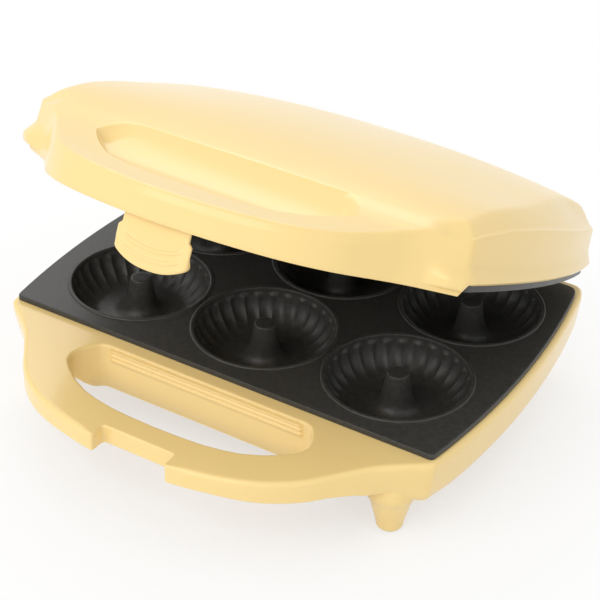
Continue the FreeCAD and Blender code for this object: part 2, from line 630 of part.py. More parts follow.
def cord_inlet():
    """Grommet in the back wall, with a flange on both faces."""
    inner_y = REAR_WALL_Y - WALL - INLET_FLANGE
    gland = fuse(rod(INLET_R, (INLET_X, REAR_WALL_Y - WALL, INLET_Z), WALL, ALONG_Y),
                 rod(INLET_R + 1.5, (INLET_X, REAR_WALL_Y, INLET_Z), INLET_FLANGE, ALONG_Y),
                 rod(INLET_R + 1.5, (INLET_X, inner_y, INLET_Z), INLET_FLANGE, ALONG_Y))
    return gland.cut(rod(INLET_BORE_R, (INLET_X, inner_y - 1, INLET_Z), 10, ALONG_Y))


def terminals():
    """Terminal block on the floor and the three screws in it."""
    back = REAR_WALL_Y - WALL - 1.5
    top = BODY_BOTTOM_Z + FLOOR_THICK + 12
    screws = [rod(1.8, (x, back - 3, top - 5), 5) for x in (-10, 0, 10)]
    body = box(-16, 16, back - 6, back, BODY_BOTTOM_Z + FLOOR_THICK, top)
    return body.cut(Part.makeCompound(screws)), screws


def base_pieces():
    """Everything that stands still."""
    plate_screw_seat = BODY_BOTTOM_Z + SCREW_HEAD_HEIGHT
    plate_screw_length = PLATE_TOP_Z - STRAP_DEPTH + SCREW_BITE - 1 - plate_screw_seat
    pin_length = KNUCKLE_WIDTH + 2 * (EAR_WIDTH + EAR_SIDE_GAP)
    terminal_body, terminal_screws = terminals()
    pieces = {
        "base_shell": [base_shell()],
        "base_floor": [base_floor()],
        "foot_pads": [rod(PAD_R, (x, y, 0), PAD_HEIGHT) for x, y in foot_places()],
        "floor_screws": [screw((x, y, BODY_BOTTOM_Z), FLOOR_THICK + SCREW_BITE - 1)
                         for x, y in floor_screw_places()],
        "lower_plate": [seat(cooking_plate(PLATE_THICK), False)],
        "lower_moulds": [seat(cup, False) for cup in mould_cups(LOWER_POST_TOP, MOULD_BEAD_HEIGHT)],
        "lower_plate_screws": [screw((x, y, plate_screw_seat), plate_screw_length)
                               for x, y in CLAMP_PLACES],
        "hinge_pins": [rod(HINGE_PIN_R, (x - pin_length / 2, HINGE_Y, HINGE_Z), pin_length, ALONG_X)
                       for x in (-HINGE_X, HINGE_X)],
        "cord_inlet": [cord_inlet()],
        "terminal_block": [terminal_body],
        "terminal_screws": terminal_screws,
    }
    pieces.update(heating_set("lower_", False))
    return pieces


# ---------------------------------------------------------------- lid
def lid_envelope(drop):
    """Space under the lid's top, lowered by drop: a crowned front view cut by a side view."""
    half = PLATE_HALF_X + 20
    shoulder = PLATE_HALF_X - LID_SHOULDER_INSET
    wall_top = LID_SIDE_WALL_TOP_Z - drop
    crown = half_profile((-half, 0), (-half, wall_top - 9), (-PLATE_HALF_X, wall_top),
                         (-shoulder, LID_SHOULDER_Z - drop),
                         ((0, LID_CROWN_Z - drop), (shoulder, LID_SHOULDER_Z - drop)),
                         (PLATE_HALF_X, wall_top), (half, wall_top - 9), (half, 0), (-half, 0))
    front_view = Part.Face(crown).extrude(V(0, 2 * HIGH, 0)).translated(V(0, -HIGH, 0))
    rear = REAR_WALL_Y
    deck = DECK_Z - drop
    side = half_profile((GRIP_FRONT_Y - 5, 0), (GRIP_FRONT_Y - 5, deck + 15.5),
                        [(GRIP_FRONT_Y + 14, deck + 17.5), (CORNER_Y - 28, deck + 22),
                         (CORNER_Y - 6, deck + 30), (CORNER_Y + 14, deck + 37.5), (-40, deck + 44.5),
                         (0, deck + 49), (40, deck + 49.5), (rear - 20, deck + 45),
                         (rear - 5, deck + 38), (rear + 5, deck + 29)],
                        (rear + 5, 0), (GRIP_FRONT_Y - 5, 0))
    side.rotate(V(0, 0, 0), UP, 90)
    side_view = Part.Face(side).extrude(V(2 * HIGH, 0, 0)).translated(V(-HIGH, 0, 0))
    return front_view.common(side_view)


def scoop(grow):
    """Half-moon dish in the front of the lid's top."""
    rear = HOLE_REAR_Y + 1
    front = HOLE_FRONT_Y - 1
    middle_y = (rear + front) / 2
    column = prism(crescent(SCOOP_HALF_WIDTH, rear, front, grow), LID_FRONT_RIM_Z, LID_CROWN_Z)
    centre_z = DECK_Z + SCOOP_FRONT_HEIGHT + math.sqrt(SCOOP_RADIUS ** 2 - ((rear - front) / 2) ** 2)
    return column.common(rod(SCOOP_RADIUS + grow, (-HIGH / 2, middle_y - 5, centre_z), HIGH, ALONG_X))


def upper_lugs():
    """Two lugs in front and two behind that hold the upper plate in the lid."""
    z = UPPER_FACE_Z + PLATE_THICK
    screw_y = CORNER_Y - LUG_SETBACK
    lugs = []
    for x in (-FRONT_LUG_X, FRONT_LUG_X):
        front = block(x, LUG_HALF_WIDTH, screw_y - 5, PLATE_FRONT_Y + 3, z, z + LUG_THICK)
        lugs.append(front.cut(rod(SCREW_R, (x, screw_y, z - 1), LUG_THICK + 2)))
    for x in (-REAR_LUG_X, REAR_LUG_X):
        lugs.append(block(x, LUG_HALF_WIDTH, PLATE_REAR_Y - 3, PLATE_REAR_Y + 3, z, z + LUG_THICK))
    return lugs


def lug_seats(outer):
    """Lid side of the four lugs: drilled bosses in front, hooked ledges behind, and what is cut."""
    z = UPPER_FACE_Z + PLATE_THICK
    screw_y = CORNER_Y - LUG_SETBACK
    added = []
    cuts = []
    for x in (-FRONT_LUG_X, FRONT_LUG_X):
        added.append(rod(BOSS_R, (x, screw_y, z + LUG_THICK), HIGH / 4).common(outer))
        cuts.append(rod(SCREW_R, (x, screw_y, z), SCREW_BITE + LUG_THICK))
        cuts.append(block(x, LUG_HALF_WIDTH + LUG_GAP, CORNER_Y - WALL - 1, CORNER_Y + 1, 0, z + LUG_THICK))
    for x in (-REAR_LUG_X, REAR_LUG_X):
        wide = LUG_HALF_WIDTH + 1
        added.append(block(x, wide, PLATE_REAR_Y + 0.8, REAR_WALL_Y - 1, z - 2, z))
        added.append(block(x, wide, PLATE_REAR_Y + 3 + LUG_GAP, REAR_WALL_Y - 1, z - 2, z + 5))
    return added, cuts


def lid_shell():
    """Outer lid: crowned top with a scoop, deep front wall, stepped side rim and knuckles."""
    outline = housing_outline(0.0)
    outer = prism(outline, LID_FRONT_RIM_Z, LID_CROWN_Z + 5).common(lid_envelope(0))
    inner = housing_outline(0.0, WALL)
    cavity = prism(inner, LID_FRONT_RIM_Z - 1, LID_CROWN_Z + 5).common(lid_envelope(WALL))
    cavity = cavity.cut(scoop(WALL))
    shell = outer.cut(cavity).cut(scoop(0))
    flare_outline = housing_outline(LID_FLARE)
    flare = prism(flare_outline, LID_SIDE_RIM_Z, LID_SIDE_RIM_Z + LID_FLARE_HEIGHT)
    flare = flare.cut(prism(inner, LID_SIDE_RIM_Z - 1, LID_SIDE_RIM_Z + LID_FLARE_HEIGHT + 1))
    flare = flare.common(box(-HIGH, HIGH, CORNER_Y, REAR_WALL_Y, 0, HIGH))
    partition = box(-HIGH, HIGH, CORNER_Y - WALL, CORNER_Y, LID_FRONT_RIM_Z, HIGH).common(outer)
    step = box(-HIGH, HIGH, CORNER_Y, HIGH, 0, LID_SIDE_RIM_Z)
    seats, seat_cuts = lug_seats(outer)
    ears = latch_ears(outer)
    shell = fuse(shell, flare, partition).cut(step)
    shell = fuse(shell, *seats, *ears, *knuckles())
    pin = rod(LATCH_PIN_R, (-HIGH / 2, LATCH_PIVOT_Y, LATCH_PIVOT_Z), HIGH, ALONG_X)
    pin = pin.common(box(-latch_pin_half(), latch_pin_half(), -HIGH, HIGH, 0, HIGH))
    return shell.cut(Part.makeCompound(seat_cuts + [pin]))


def latch_pin_half():
    return LATCH_HALF_WIDTH + LATCH_SIDE_GAP + LATCH_EAR


def latch_ears(outer):
    """Two ribs behind the front wall that carry the latch pin."""
    ears = []
    for sign in (-1, 1):
        x0, x1 = sorted((sign * (LATCH_HALF_WIDTH + LATCH_SIDE_GAP), sign * latch_pin_half()))
        rib = box(x0, x1, GRIP_FRONT_Y, LATCH_PIVOT_Y + 4, LID_FRONT_RIM_Z + 1, HIGH)
        ears.append(rib.common(outer))
    return ears


def knuckles():
    """Lid halves of the two hinges, on the back wall."""
    parts = []
    for centre in (-HINGE_X, HINGE_X):
        start = centre - KNUCKLE_WIDTH / 2
        barrel = rod(KNUCKLE_R, (start, HINGE_Y, HINGE_Z), KNUCKLE_WIDTH, ALONG_X)
        arm = wire((REAR_WALL_Y - 1, LID_SIDE_RIM_Z), (HINGE_Y, HINGE_Z + KNUCKLE_R - 1),
                   (HINGE_Y + KNUCKLE_R - 1, HINGE_Z), (HINGE_Y + KNUCKLE_R - 0.6, HINGE_Z + 4),
                   (REAR_WALL_Y - 1, LID_SIDE_WALL_TOP_Z - 2), (REAR_WALL_Y - 1, LID_SIDE_RIM_Z))
        arm.rotate(V(0, 0, 0), ALONG_X, 90)
        arm.rotate(V(0, 0, 0), UP, 90)
        web = Part.Face(arm).extrude(V(KNUCKLE_WIDTH, 0, 0)).translated(V(start, 0, 0))
        bore = rod(HINGE_PIN_R + HINGE_RUN_CLEARANCE, (start - 1, HINGE_Y, HINGE_Z), KNUCKLE_WIDTH + 2, ALONG_X)
        parts.append(barrel.fuse(web).cut(bore))
    return parts


def upper_plate():
    return fuse(seat(cooking_plate(UPPER_FLANGE), True), *upper_lugs())


def latch():
    """Snap latch: an eye round the pin, a thin blade, and a wide tab with a hook behind."""
    half = LATCH_HALF_WIDTH
    eye = rod(LATCH_THICK / 2, (-half, LATCH_PIVOT_Y, LATCH_PIVOT_Z), 2 * half, ALONG_X)
    neck = box(-half, half, LATCH_FRONT_Y, LATCH_FRONT_Y + LATCH_BLADE, LATCH_TAB_TOP_Z, LATCH_PIVOT_Z)
    web = box(-half, half, LATCH_FRONT_Y, LATCH_BACK_Y, LATCH_PIVOT_Z - 5, LATCH_PIVOT_Z)
    wide = LATCH_TAB_HALF_WIDTH
    shape = half_profile((-wide, LATCH_TAB_TOP_Z), (-wide, LATCH_CORNER_Z),
                         ((0, LATCH_TIP_Z), (wide, LATCH_CORNER_Z)), (wide, LATCH_TAB_TOP_Z),
                         (-wide, LATCH_TAB_TOP_Z))
    tab = Part.Face(shape).extrude(V(0, LATCH_THICK, 0)).translated(V(0, LATCH_FRONT_Y, 0))
    tab = tab.cut(box(-HIGH, HIGH, LATCH_FRONT_Y + LATCH_BLADE, HIGH, LATCH_HOOK_Z, HIGH))
    bore = rod(LATCH_PIN_R + HINGE_RUN_CLEARANCE, (-half - 1, LATCH_PIVOT_Y, LATCH_PIVOT_Z), 2 * half + 2,
               ALONG_X)
    return fuse(eye, neck, web, tab).cut(bore)


def lid_pieces():
    """Everything that swings with the lid, drawn closed."""
    lug_z = UPPER_FACE_Z + PLATE_THICK
    pin_half = latch_pin_half()
    pieces = {
        "lid_shell": [lid_shell()],
        "upper_plate": [upper_plate()],
        "upper_moulds": [seat(cup, True) for cup in mould_cups(PLATE_GAP - LOWER_POST_TOP - POST_GAP, 0.0)],
        "upper_plate_screws": [screw((x, CORNER_Y - LUG_SETBACK, lug_z), SCREW_BITE + 1)
                               for x in (-FRONT_LUG_X, FRONT_LUG_X)],
        "latch_pin": [rod(LATCH_PIN_R, (-pin_half, LATCH_PIVOT_Y, LATCH_PIVOT_Z), 2 * pin_half, ALONG_X)],
        "latch": [latch()],
    }
    pieces.update(heating_set("upper_", True))
    return pieces


# ---------------------------------------------------------------- assembly
def opened(solid):
    return solid.rotated(V(0, HINGE_Y, HINGE_Z), ALONG_X, -LID_REST_ANGLE)


def main():
    os.makedirs("parts", exist_ok=True)
    pieces = base_pieces()
    for name, solids in lid_pieces().items():
        pieces[name] = [opened(solid) for solid in solids]
    whole = Part.makeCompound([solid for solids in pieces.values() for solid in solids])
    whole = whole.optimalBoundingBox(False, False)
    shift = V(0, -(whole.YMin + whole.YMax) / 2, 0)
    for name, solids in pieces.items():
        shape = Part.makeCompound([solid.translated(shift) for solid in solids])
        if len(shape.Solids) == 1:
            shape = shape.Solids[0]
        shape.exportStep(os.path.join("parts", name + ".step"))
    pivot = V(0, LATCH_PIVOT_Y - HINGE_Y, LATCH_PIVOT_Z - HINGE_Z)
    pivot = FreeCAD.Rotation(ALONG_X, -LID_REST_ANGLE).multVec(pivot) + V(0, HINGE_Y, HINGE_Z) + shift
    print("shift", round(shift.y, 4), "hinge", round(HINGE_Y + shift.y, 4), HINGE_Z)
    print("latch pivot", round(pivot.y, 4), round(pivot.z, 4))
    print("size", round(whole.XLength, 2), round(whole.YLength, 2), round(whole.ZMax, 2))


main()
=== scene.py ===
"""Donut maker standing ajar: a vanilla clamshell housing with two fluted ring-mould plates.

Everything is worked out in millimetres with y = 0 midway between the two mould rows and z = 0 on
the table, the lid drawn closed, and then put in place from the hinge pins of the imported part.
"""
import json
import math
import bmesh
import bpy
import numpy as np
from mathutils import Matrix, Vector, geometry


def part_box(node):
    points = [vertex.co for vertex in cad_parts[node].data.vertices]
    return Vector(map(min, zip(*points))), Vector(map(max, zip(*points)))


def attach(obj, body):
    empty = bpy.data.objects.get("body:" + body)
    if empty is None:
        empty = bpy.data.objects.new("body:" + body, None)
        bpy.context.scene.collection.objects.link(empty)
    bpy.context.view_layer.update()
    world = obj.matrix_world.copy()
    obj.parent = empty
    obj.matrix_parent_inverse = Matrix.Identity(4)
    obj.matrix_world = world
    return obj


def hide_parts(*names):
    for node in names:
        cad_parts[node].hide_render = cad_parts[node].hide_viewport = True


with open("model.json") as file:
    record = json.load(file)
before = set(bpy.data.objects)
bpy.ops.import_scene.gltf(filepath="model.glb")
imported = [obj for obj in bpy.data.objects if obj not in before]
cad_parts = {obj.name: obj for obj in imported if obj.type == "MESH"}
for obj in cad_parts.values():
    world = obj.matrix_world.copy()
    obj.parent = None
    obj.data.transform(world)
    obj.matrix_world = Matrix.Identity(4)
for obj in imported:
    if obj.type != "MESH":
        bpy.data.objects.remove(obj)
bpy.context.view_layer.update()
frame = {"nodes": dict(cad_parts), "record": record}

bl_info = {
    "name": "Donut Maker",
    "version": (1, 0, 0),
    "blender": (4, 5, 0),
    "location": "3D View > Sidebar > Donut Maker",
    "description": "Builds the looks of a donut maker around its packed part",
    "category": "Object",
}

# ---------------------------------------------------------------- sizes shared by the pieces
HINGE_BACK = 98.4
LID_TURN = math.radians(-25)
DECK = 45.0
FLOOR_Z = 20.0
PLATE_TOP = 48.0
UPPER_FACE = 49.1
PITCH_X = 75.3
PITCH_Y = 74.7
PLATE_FRONT = -82.55
PLATE_REAR = 82.05
CORNER_Y = -84.05
GRIP_FRONT = -152.55
REAR_WALL = 90.0
REAR_CORNER = 6.0
WALL = 2.5
SCOOP_REAR = -89.3
HOLE_REAR = -89.95
RIBS = (42.9, 40.4, 37.9)
FRONT_RIM = 47.0
SIDE_RIM = 53.3
FLARE_Z = 54.5
HINGE_HEIGHT = 46.0
KNUCKLE_R = 6.8
KNUCKLES = (-62.0, 62.0)
EAR_OFFSET = 11.4
FOOT_X = 100.0
FEET_Y = (-84.0, 70.0)
LUG_X = 80.0
LATCH_FRONT = -148.05
LATCH_BOTTOM = 24.6
LATCH_SIDES_UP = 5.9
LATCH_TAB_HALF = 19.3
LATCH_TAB_TOP = 40.6
SIDE_WIDTHS = ((119.0, PLATE_FRONT), (124.0, -10.0), (113.0, PLATE_REAR))
MOULDS = [(x * PITCH_X, y * PITCH_Y) for x in (-1, 0, 1) for y in (-0.5, 0.5)]

PINS_LOW, PINS_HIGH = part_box("hinge_pins")
HINGE = ((PINS_LOW + PINS_HIGH) / 2).yz
SHIFT = HINGE.x * 1000 - HINGE_BACK


def place(points):
    """Millimetres of the drawing to metres of the frame."""
    return (np.asarray(points, float) + (0.0, SHIFT, 0.0)) / 1000


def place_on_lid(points):
    """As place, then turned open about the hinge axis by the angle the lid rests at."""
    p = place(points)
    y, z = p[..., 1] - HINGE.x, p[..., 2] - HINGE.y
    c, s = math.cos(LID_TURN), math.sin(LID_TURN)
    return np.stack([p[..., 0], HINGE.x + c * y - s * z, HINGE.y + s * y + c * z], -1)


# ---------------------------------------------------------------- curves
def smooth_through(knots, values, at):
    """Cubic between neighbouring knots whose end slopes are the mean of the two spans; flat outside."""
    k, v = np.asarray(knots, float), np.asarray(values, float)
    span = np.diff(v) / np.diff(k)
    slope = np.concatenate(([span[0]], (span[1:] + span[:-1]) / 2, [span[-1]]))
    a = np.clip(at, k[0], k[-1])
    i = np.clip(np.searchsorted(k, a, side="right") - 1, 0, len(k) - 2)
    h = k[i + 1] - k[i]
    t = (a - k[i]) / h
    return (v[i] * (1 + 2 * t) * (1 - t) ** 2 + slope[i] * h * t * (1 - t) ** 2
            + v[i + 1] * t * t * (3 - 2 * t) + slope[i + 1] * h * t * t * (t - 1))


def step(low, high, at):
    """0 below low, 1 above high, and 3t2 - 2t3 between."""
    t = np.clip((np.asarray(at, float) - low) / (high - low), 0, 1)
    return t * t * (3 - 2 * t)


def curve(points, count):
    """Smooth curve through points: x and y each run smoothly over the chord length."""
    p = np.asarray(points, float)
    s = np.concatenate(([0], np.cumsum(np.hypot(*np.diff(p, axis=0).T))))
    t = np.linspace(0, s[-1], count)
    return np.stack([smooth_through(s, p[:, 0], t), smooth_through(s, p[:, 1], t)], 1)


def circle_of(three):
    """Centre and radius of the circle through three points."""
    (ax, ay), (bx, by), (cx, cy) = three
    m = np.array([[bx - ax, by - ay], [cx - ax, cy - ay]]) * 2
    r = np.array([bx * bx - ax * ax + by * by - ay * ay, cx * cx - ax * ax + cy * cy - ay * ay])
    centre = np.linalg.solve(m, r)
    return centre, math.hypot(ax - centre[0], ay - centre[1])


SIDE_CENTRE, SIDE_RADIUS = circle_of(SIDE_WIDTHS)


def side_width(y, border):
    """Half width at depth y: the bowed side's circle, grown by border."""
    return SIDE_CENTRE[0] + np.sqrt((SIDE_RADIUS + border) ** 2 - (y - SIDE_CENTRE[1]) ** 2)


def even_loop(points, count, blur):
    """Closed loop of evenly spaced points, anticlockwise from above, its corners rounded by a
    Gaussian blur along the loop, with the outward normal at each point."""
    p = np.asarray(points, float)
    p = np.vstack([p, p[:1]])
    p = p[np.concatenate(([True], np.hypot(*np.diff(p, axis=0).T) > 1e-6))]
    if np.sum(p[:-1, 0] * p[1:, 1] - p[1:, 0] * p[:-1, 1]) < 0:
        p = p[::-1]
    s = np.concatenate(([0], np.cumsum(np.hypot(*np.diff(p, axis=0).T))))
    t = np.arange(count) * s[-1] / count
    z = np.interp(t, s, p[:, 0]) + 1j * np.interp(t, s, p[:, 1])
    w = 2 * np.pi * np.fft.fftfreq(count, s[-1] / count)
    z = np.fft.ifft(np.fft.fft(z) * np.exp(-(w * blur) ** 2 / 2))
    tangent = np.roll(z, -1) - np.roll(z, 1)
    normal = -1j * tangent / abs(tangent)
    return np.stack([z.real, z.imag], 1), np.stack([normal.real, normal.imag], 1)


def mirrored(right):
    """A right half drawn from back to front, followed by its mirror image from front to back."""
    r = np.asarray(right, float)
    return np.vstack([r, (r * (-1, 1))[::-1]])


def housing_loop(border, count, notch, blur):
    """Bowed sides, straight back with round corners, and the bow of the grip in front."""
    corner = side_width(CORNER_Y, border)
    grip = [(corner, CORNER_Y), (corner - 21, CORNER_Y - 17), (corner - 30, CORNER_Y - 28),
            (corner - 43, CORNER_Y - 44), (corner - 59, GRIP_FRONT + 13), (corner - 87, GRIP_FRONT + 3.5),
            (0, GRIP_FRONT)]
    grip = curve(grip + [(-x, y) for x, y in grip[-2::-1]], 801)
    grip = grip[grip[:, 0] >= 0]
    if notch:
        grip = grip[grip[:, 0] > 20.0]
        grip = np.vstack([grip, [(20.0, grip[-1, 1]), (20.0, GRIP_FRONT + 10), (0, GRIP_FRONT + 10)]])
    y = np.linspace(REAR_WALL - REAR_CORNER, CORNER_Y, 90)
    side = np.stack([side_width(y, border), y], 1)
    turn = np.linspace(np.pi / 2, 0, 20)[:-1]
    r = REAR_CORNER
    x_rear = side_width(REAR_WALL - r / 2, border)
    corner_arc = np.stack([x_rear - r + r * np.cos(turn), REAR_WALL - r + r * np.sin(turn)], 1)
    return even_loop(mirrored(np.vstack([[(0, REAR_WALL)], corner_arc, side, grip])), count, blur)


def soft_normals(loop, reach):
    """The loop with its outward normals blurred along it by a Gaussian, so that wide insets do not
    fold at the corners of the body; the grip in front keeps its own normals."""
    p, n = loop
    spacing = np.hypot(*(p[1] - p[0]))
    w = 2 * np.pi * np.fft.fftfreq(len(p), spacing)
    z = np.fft.ifft(np.fft.fft(n[:, 0] + 1j * n[:, 1]) * np.exp(-(w * reach) ** 2 / 2))
    share = step(-128, -106, p[:, 1])
    z = share * z / abs(z) + (1 - share) * (n[:, 0] + 1j * n[:, 1])
    z /= abs(z)
    return p, np.stack([z.real, z.imag], 1)


def plate_loop(count):
    """Straight front and rear edges, bowed sides, small front corners and larger rear corners."""
    y = np.linspace(PLATE_REAR - 5, PLATE_FRONT, 90)
    side = np.stack([side_width(y, 0.0), y], 1)
    turn = np.linspace(np.pi / 2, 0, 16)[:-1]
    x_rear = side_width(PLATE_REAR - 3, 0.0)
    arc = np.stack([x_rear - 5 + 5 * np.cos(turn), PLATE_REAR - 5 + 5 * np.sin(turn)], 1)
    return even_loop(mirrored(np.vstack([[(0, PLATE_REAR)], arc, side, [(0, PLATE_FRONT)]])), count, 1.4)


def scoop_loop(count):
    """The lid's scoop: straight rear edge, pointed round ends and a bowed front edge."""
    half = [(0, SCOOP_REAR), (58.5, SCOOP_REAR), (62.5, -91.2), (66.5, -95.6), (69.6, -100.6),
            (70.3, -103.6), (68.4, -106.8), (61.5, -114.0), (53.5, -121.4), (45.5, -126.6),
            (35, -130.2), (18, -132.2), (0, -132.8)]
    return even_loop(mirrored(half), count, 1.2)[0]


def hole_loop(count):
    """The finger hole under the grip: straight rear edge, pointed round ends and a bowed front edge."""
    half = [(0, HOLE_REAR), (57.0, HOLE_REAR), (60.5, -91.4), (63.4, -95.2), (66.0, -99.8), (67.2, -104.4),
            (65.4, -109.8), (59.6, -115.4), (52.4, -120.6), (43.8, -124.9), (35.6, -127.2), (25.5, -129.0),
            (15.0, -129.8), (0, -130.2)]
    return even_loop(mirrored(half), count, 1.0)


def body_lean(x, y, down):
    """How far the body's wall leans inwards, down running from 0 at the deck to 1 at the table
    side: a power of down, with a share added at the front corners."""
    corner = np.exp(-((y + 84) / 14) ** 2) * step(60, 100, abs(x))
    return step(-106, -96, y) * (2.6 + 1.6 * corner) * down ** 1.2


def ring(loop, inset, z):
    """One ring of a wall: the loop moved inwards by inset, at height z; both may vary along it."""
    p, n = loop
    flat = p - n * np.broadcast_to(np.asarray(inset, float), len(p))[:, None]
    return np.column_stack([flat, np.broadcast_to(np.asarray(z, float), len(p))])


def within(points, loop):
    """Whether each point is inside a loop: a ray along +x crosses its edges an odd number of times."""
    a, b = loop, np.roll(loop, -1, 0)
    x, y = points[:, :1], points[:, 1:2]
    spans = (a[:, 1] > y) != (b[:, 1] > y)
    rise = np.where(b[:, 1] == a[:, 1], 1.0, b[:, 1] - a[:, 1])
    crossing = a[:, 0] + (y - a[:, 1]) / rise * (b[:, 0] - a[:, 0])
    return (spans & (x < crossing)).sum(1) % 2 == 1


# ---------------------------------------------------------------- meshes
class Shell:
    """Collects surfaces in millimetres, and makes one mesh of them."""

    def __init__(self):
        """Starts empty."""
        self.points = []
        self.faces = []
        self.count = 0

    def add(self, points, faces):
        """Adds points and the faces that number them from 0."""
        self.points.append(np.asarray(points, float).reshape(-1, 3))
        self.faces += (np.asarray(faces) + self.count).tolist()
        self.count += len(self.points[-1])

    def loft(self, rings, wrap=True):
        """Quads between neighbouring rings of a (rows, columns, 3) grid."""
        grid = np.asarray(rings, float)
        rows, columns = grid.shape[:2]
        index = np.arange(rows * columns).reshape(rows, columns)
        after = np.roll(index, -1, 1)
        if not wrap:
            index, after = index[:, :-1], after[:, :-1]
        quads = np.stack([index[:-1], after[:-1], after[1:], index[1:]], -1).reshape(-1, 4)
        self.add(grid, quads)

    def fan(self, rim, pole):
        """Triangles from a ring to one point."""
        count = len(rim)
        index = np.arange(count)
        faces = np.stack([index, np.roll(index, -1), np.full(count, count)], 1)
        self.add(np.vstack([rim, [pole]]), faces)

    def sheet(self, outer, holes, z):
        """Flat sheet at height z inside the outer ring and outside the hole rings, by a
        Delaunay triangulation that keeps the rings' edges."""
        rings = [np.asarray(r)[:, :2] for r in [outer] + holes]
        starts = np.cumsum([0] + [len(r) for r in rings])
        edges = [np.stack([np.arange(len(r)), np.roll(np.arange(len(r)), -1)], 1) + s
                 for r, s in zip(rings, starts)]
        flat = [Vector(p) for p in np.vstack(rings).tolist()]
        found = geometry.delaunay_2d_cdt(flat, np.vstack(edges).tolist(), [], 1, 1e-6)
        points = np.array([(p.x, p.y) for p in found[0]])
        triangles = np.array(found[2])
        middle = points[triangles].mean(1)
        kept = within(middle, rings[0])
        for hole in rings[1:]:
            kept &= ~within(middle, hole)
        self.add(np.column_stack([points, np.full(len(points), z)]), triangles[kept])

    def bar(self, profile, x0, x1, bevel=0.4):
        """A closed (y, z) outline carried along x, with bevelled ends closed by a fan."""
        p = np.asarray(profile, float)
        tangent = np.roll(p, -1, 0) - np.roll(p, 1, 0)
        normal = np.stack([tangent[:, 1], -tangent[:, 0]], 1) / np.hypot(*tangent.T)[:, None]
        area = np.sum(p[:, 0] * np.roll(p[:, 1], -1) - np.roll(p[:, 0], -1) * p[:, 1])
        small = p - normal * bevel * np.sign(area)
        rows = [(x0, small), (x0 + bevel, p), (x1 - bevel, p), (x1, small)]
        grid = np.stack([np.column_stack([np.full(len(q), x), q]) for x, q in rows])
        self.loft(grid)
        for end in (grid[0], grid[-1]):
            self.fan(end, end.mean(0))

    def post(self, x, y, profile, columns=48):
        """A (radius, z) profile turned about an upright axis, closed by fans."""
        turn = np.arange(columns) * 2 * np.pi / columns
        rows = [np.column_stack([x + r * np.cos(turn), y + r * np.sin(turn), np.full(columns, z)])
                for r, z in profile]
        self.loft(np.stack(rows))
        self.fan(rows[0], (x, y, profile[0][1]))
        self.fan(rows[-1], (x, y, profile[-1][1]))


def make_piece(name, shell, move, material, body, nodes, sharp=50):
    """Mesh of a shell put in place, doubles merged and normals outwards, riding on its body."""
    mesh = bpy.data.meshes.new(name)
    mesh.from_pydata(move(np.vstack(shell.points)).tolist(), [], shell.faces)
    work = bmesh.new()
    work.from_mesh(mesh)
    bmesh.ops.remove_doubles(work, verts=work.verts, dist=2e-6)
    bmesh.ops.dissolve_degenerate(work, edges=work.edges, dist=1e-7)
    bmesh.ops.recalc_face_normals(work, faces=work.faces)
    work.to_mesh(mesh)
    work.free()
    mesh.shade_smooth()
    mesh.set_sharp_from_angle(angle=math.radians(sharp))
    mesh.materials.append(material)
    piece = bpy.data.objects.new(name, mesh)
    bpy.context.scene.collection.objects.link(piece)
    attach(piece, body)
    known = [n for n in nodes if n in frame["nodes"]]
    if known:
        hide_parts(*known)
    return piece


def knuckle_arc(turn):
    """Points (y, z) at the given angles on the circle round the hinge axis, the lid drawn closed."""
    return [(HINGE_BACK + KNUCKLE_R * math.cos(a), HINGE_HEIGHT + KNUCKLE_R * math.sin(a)) for a in turn]


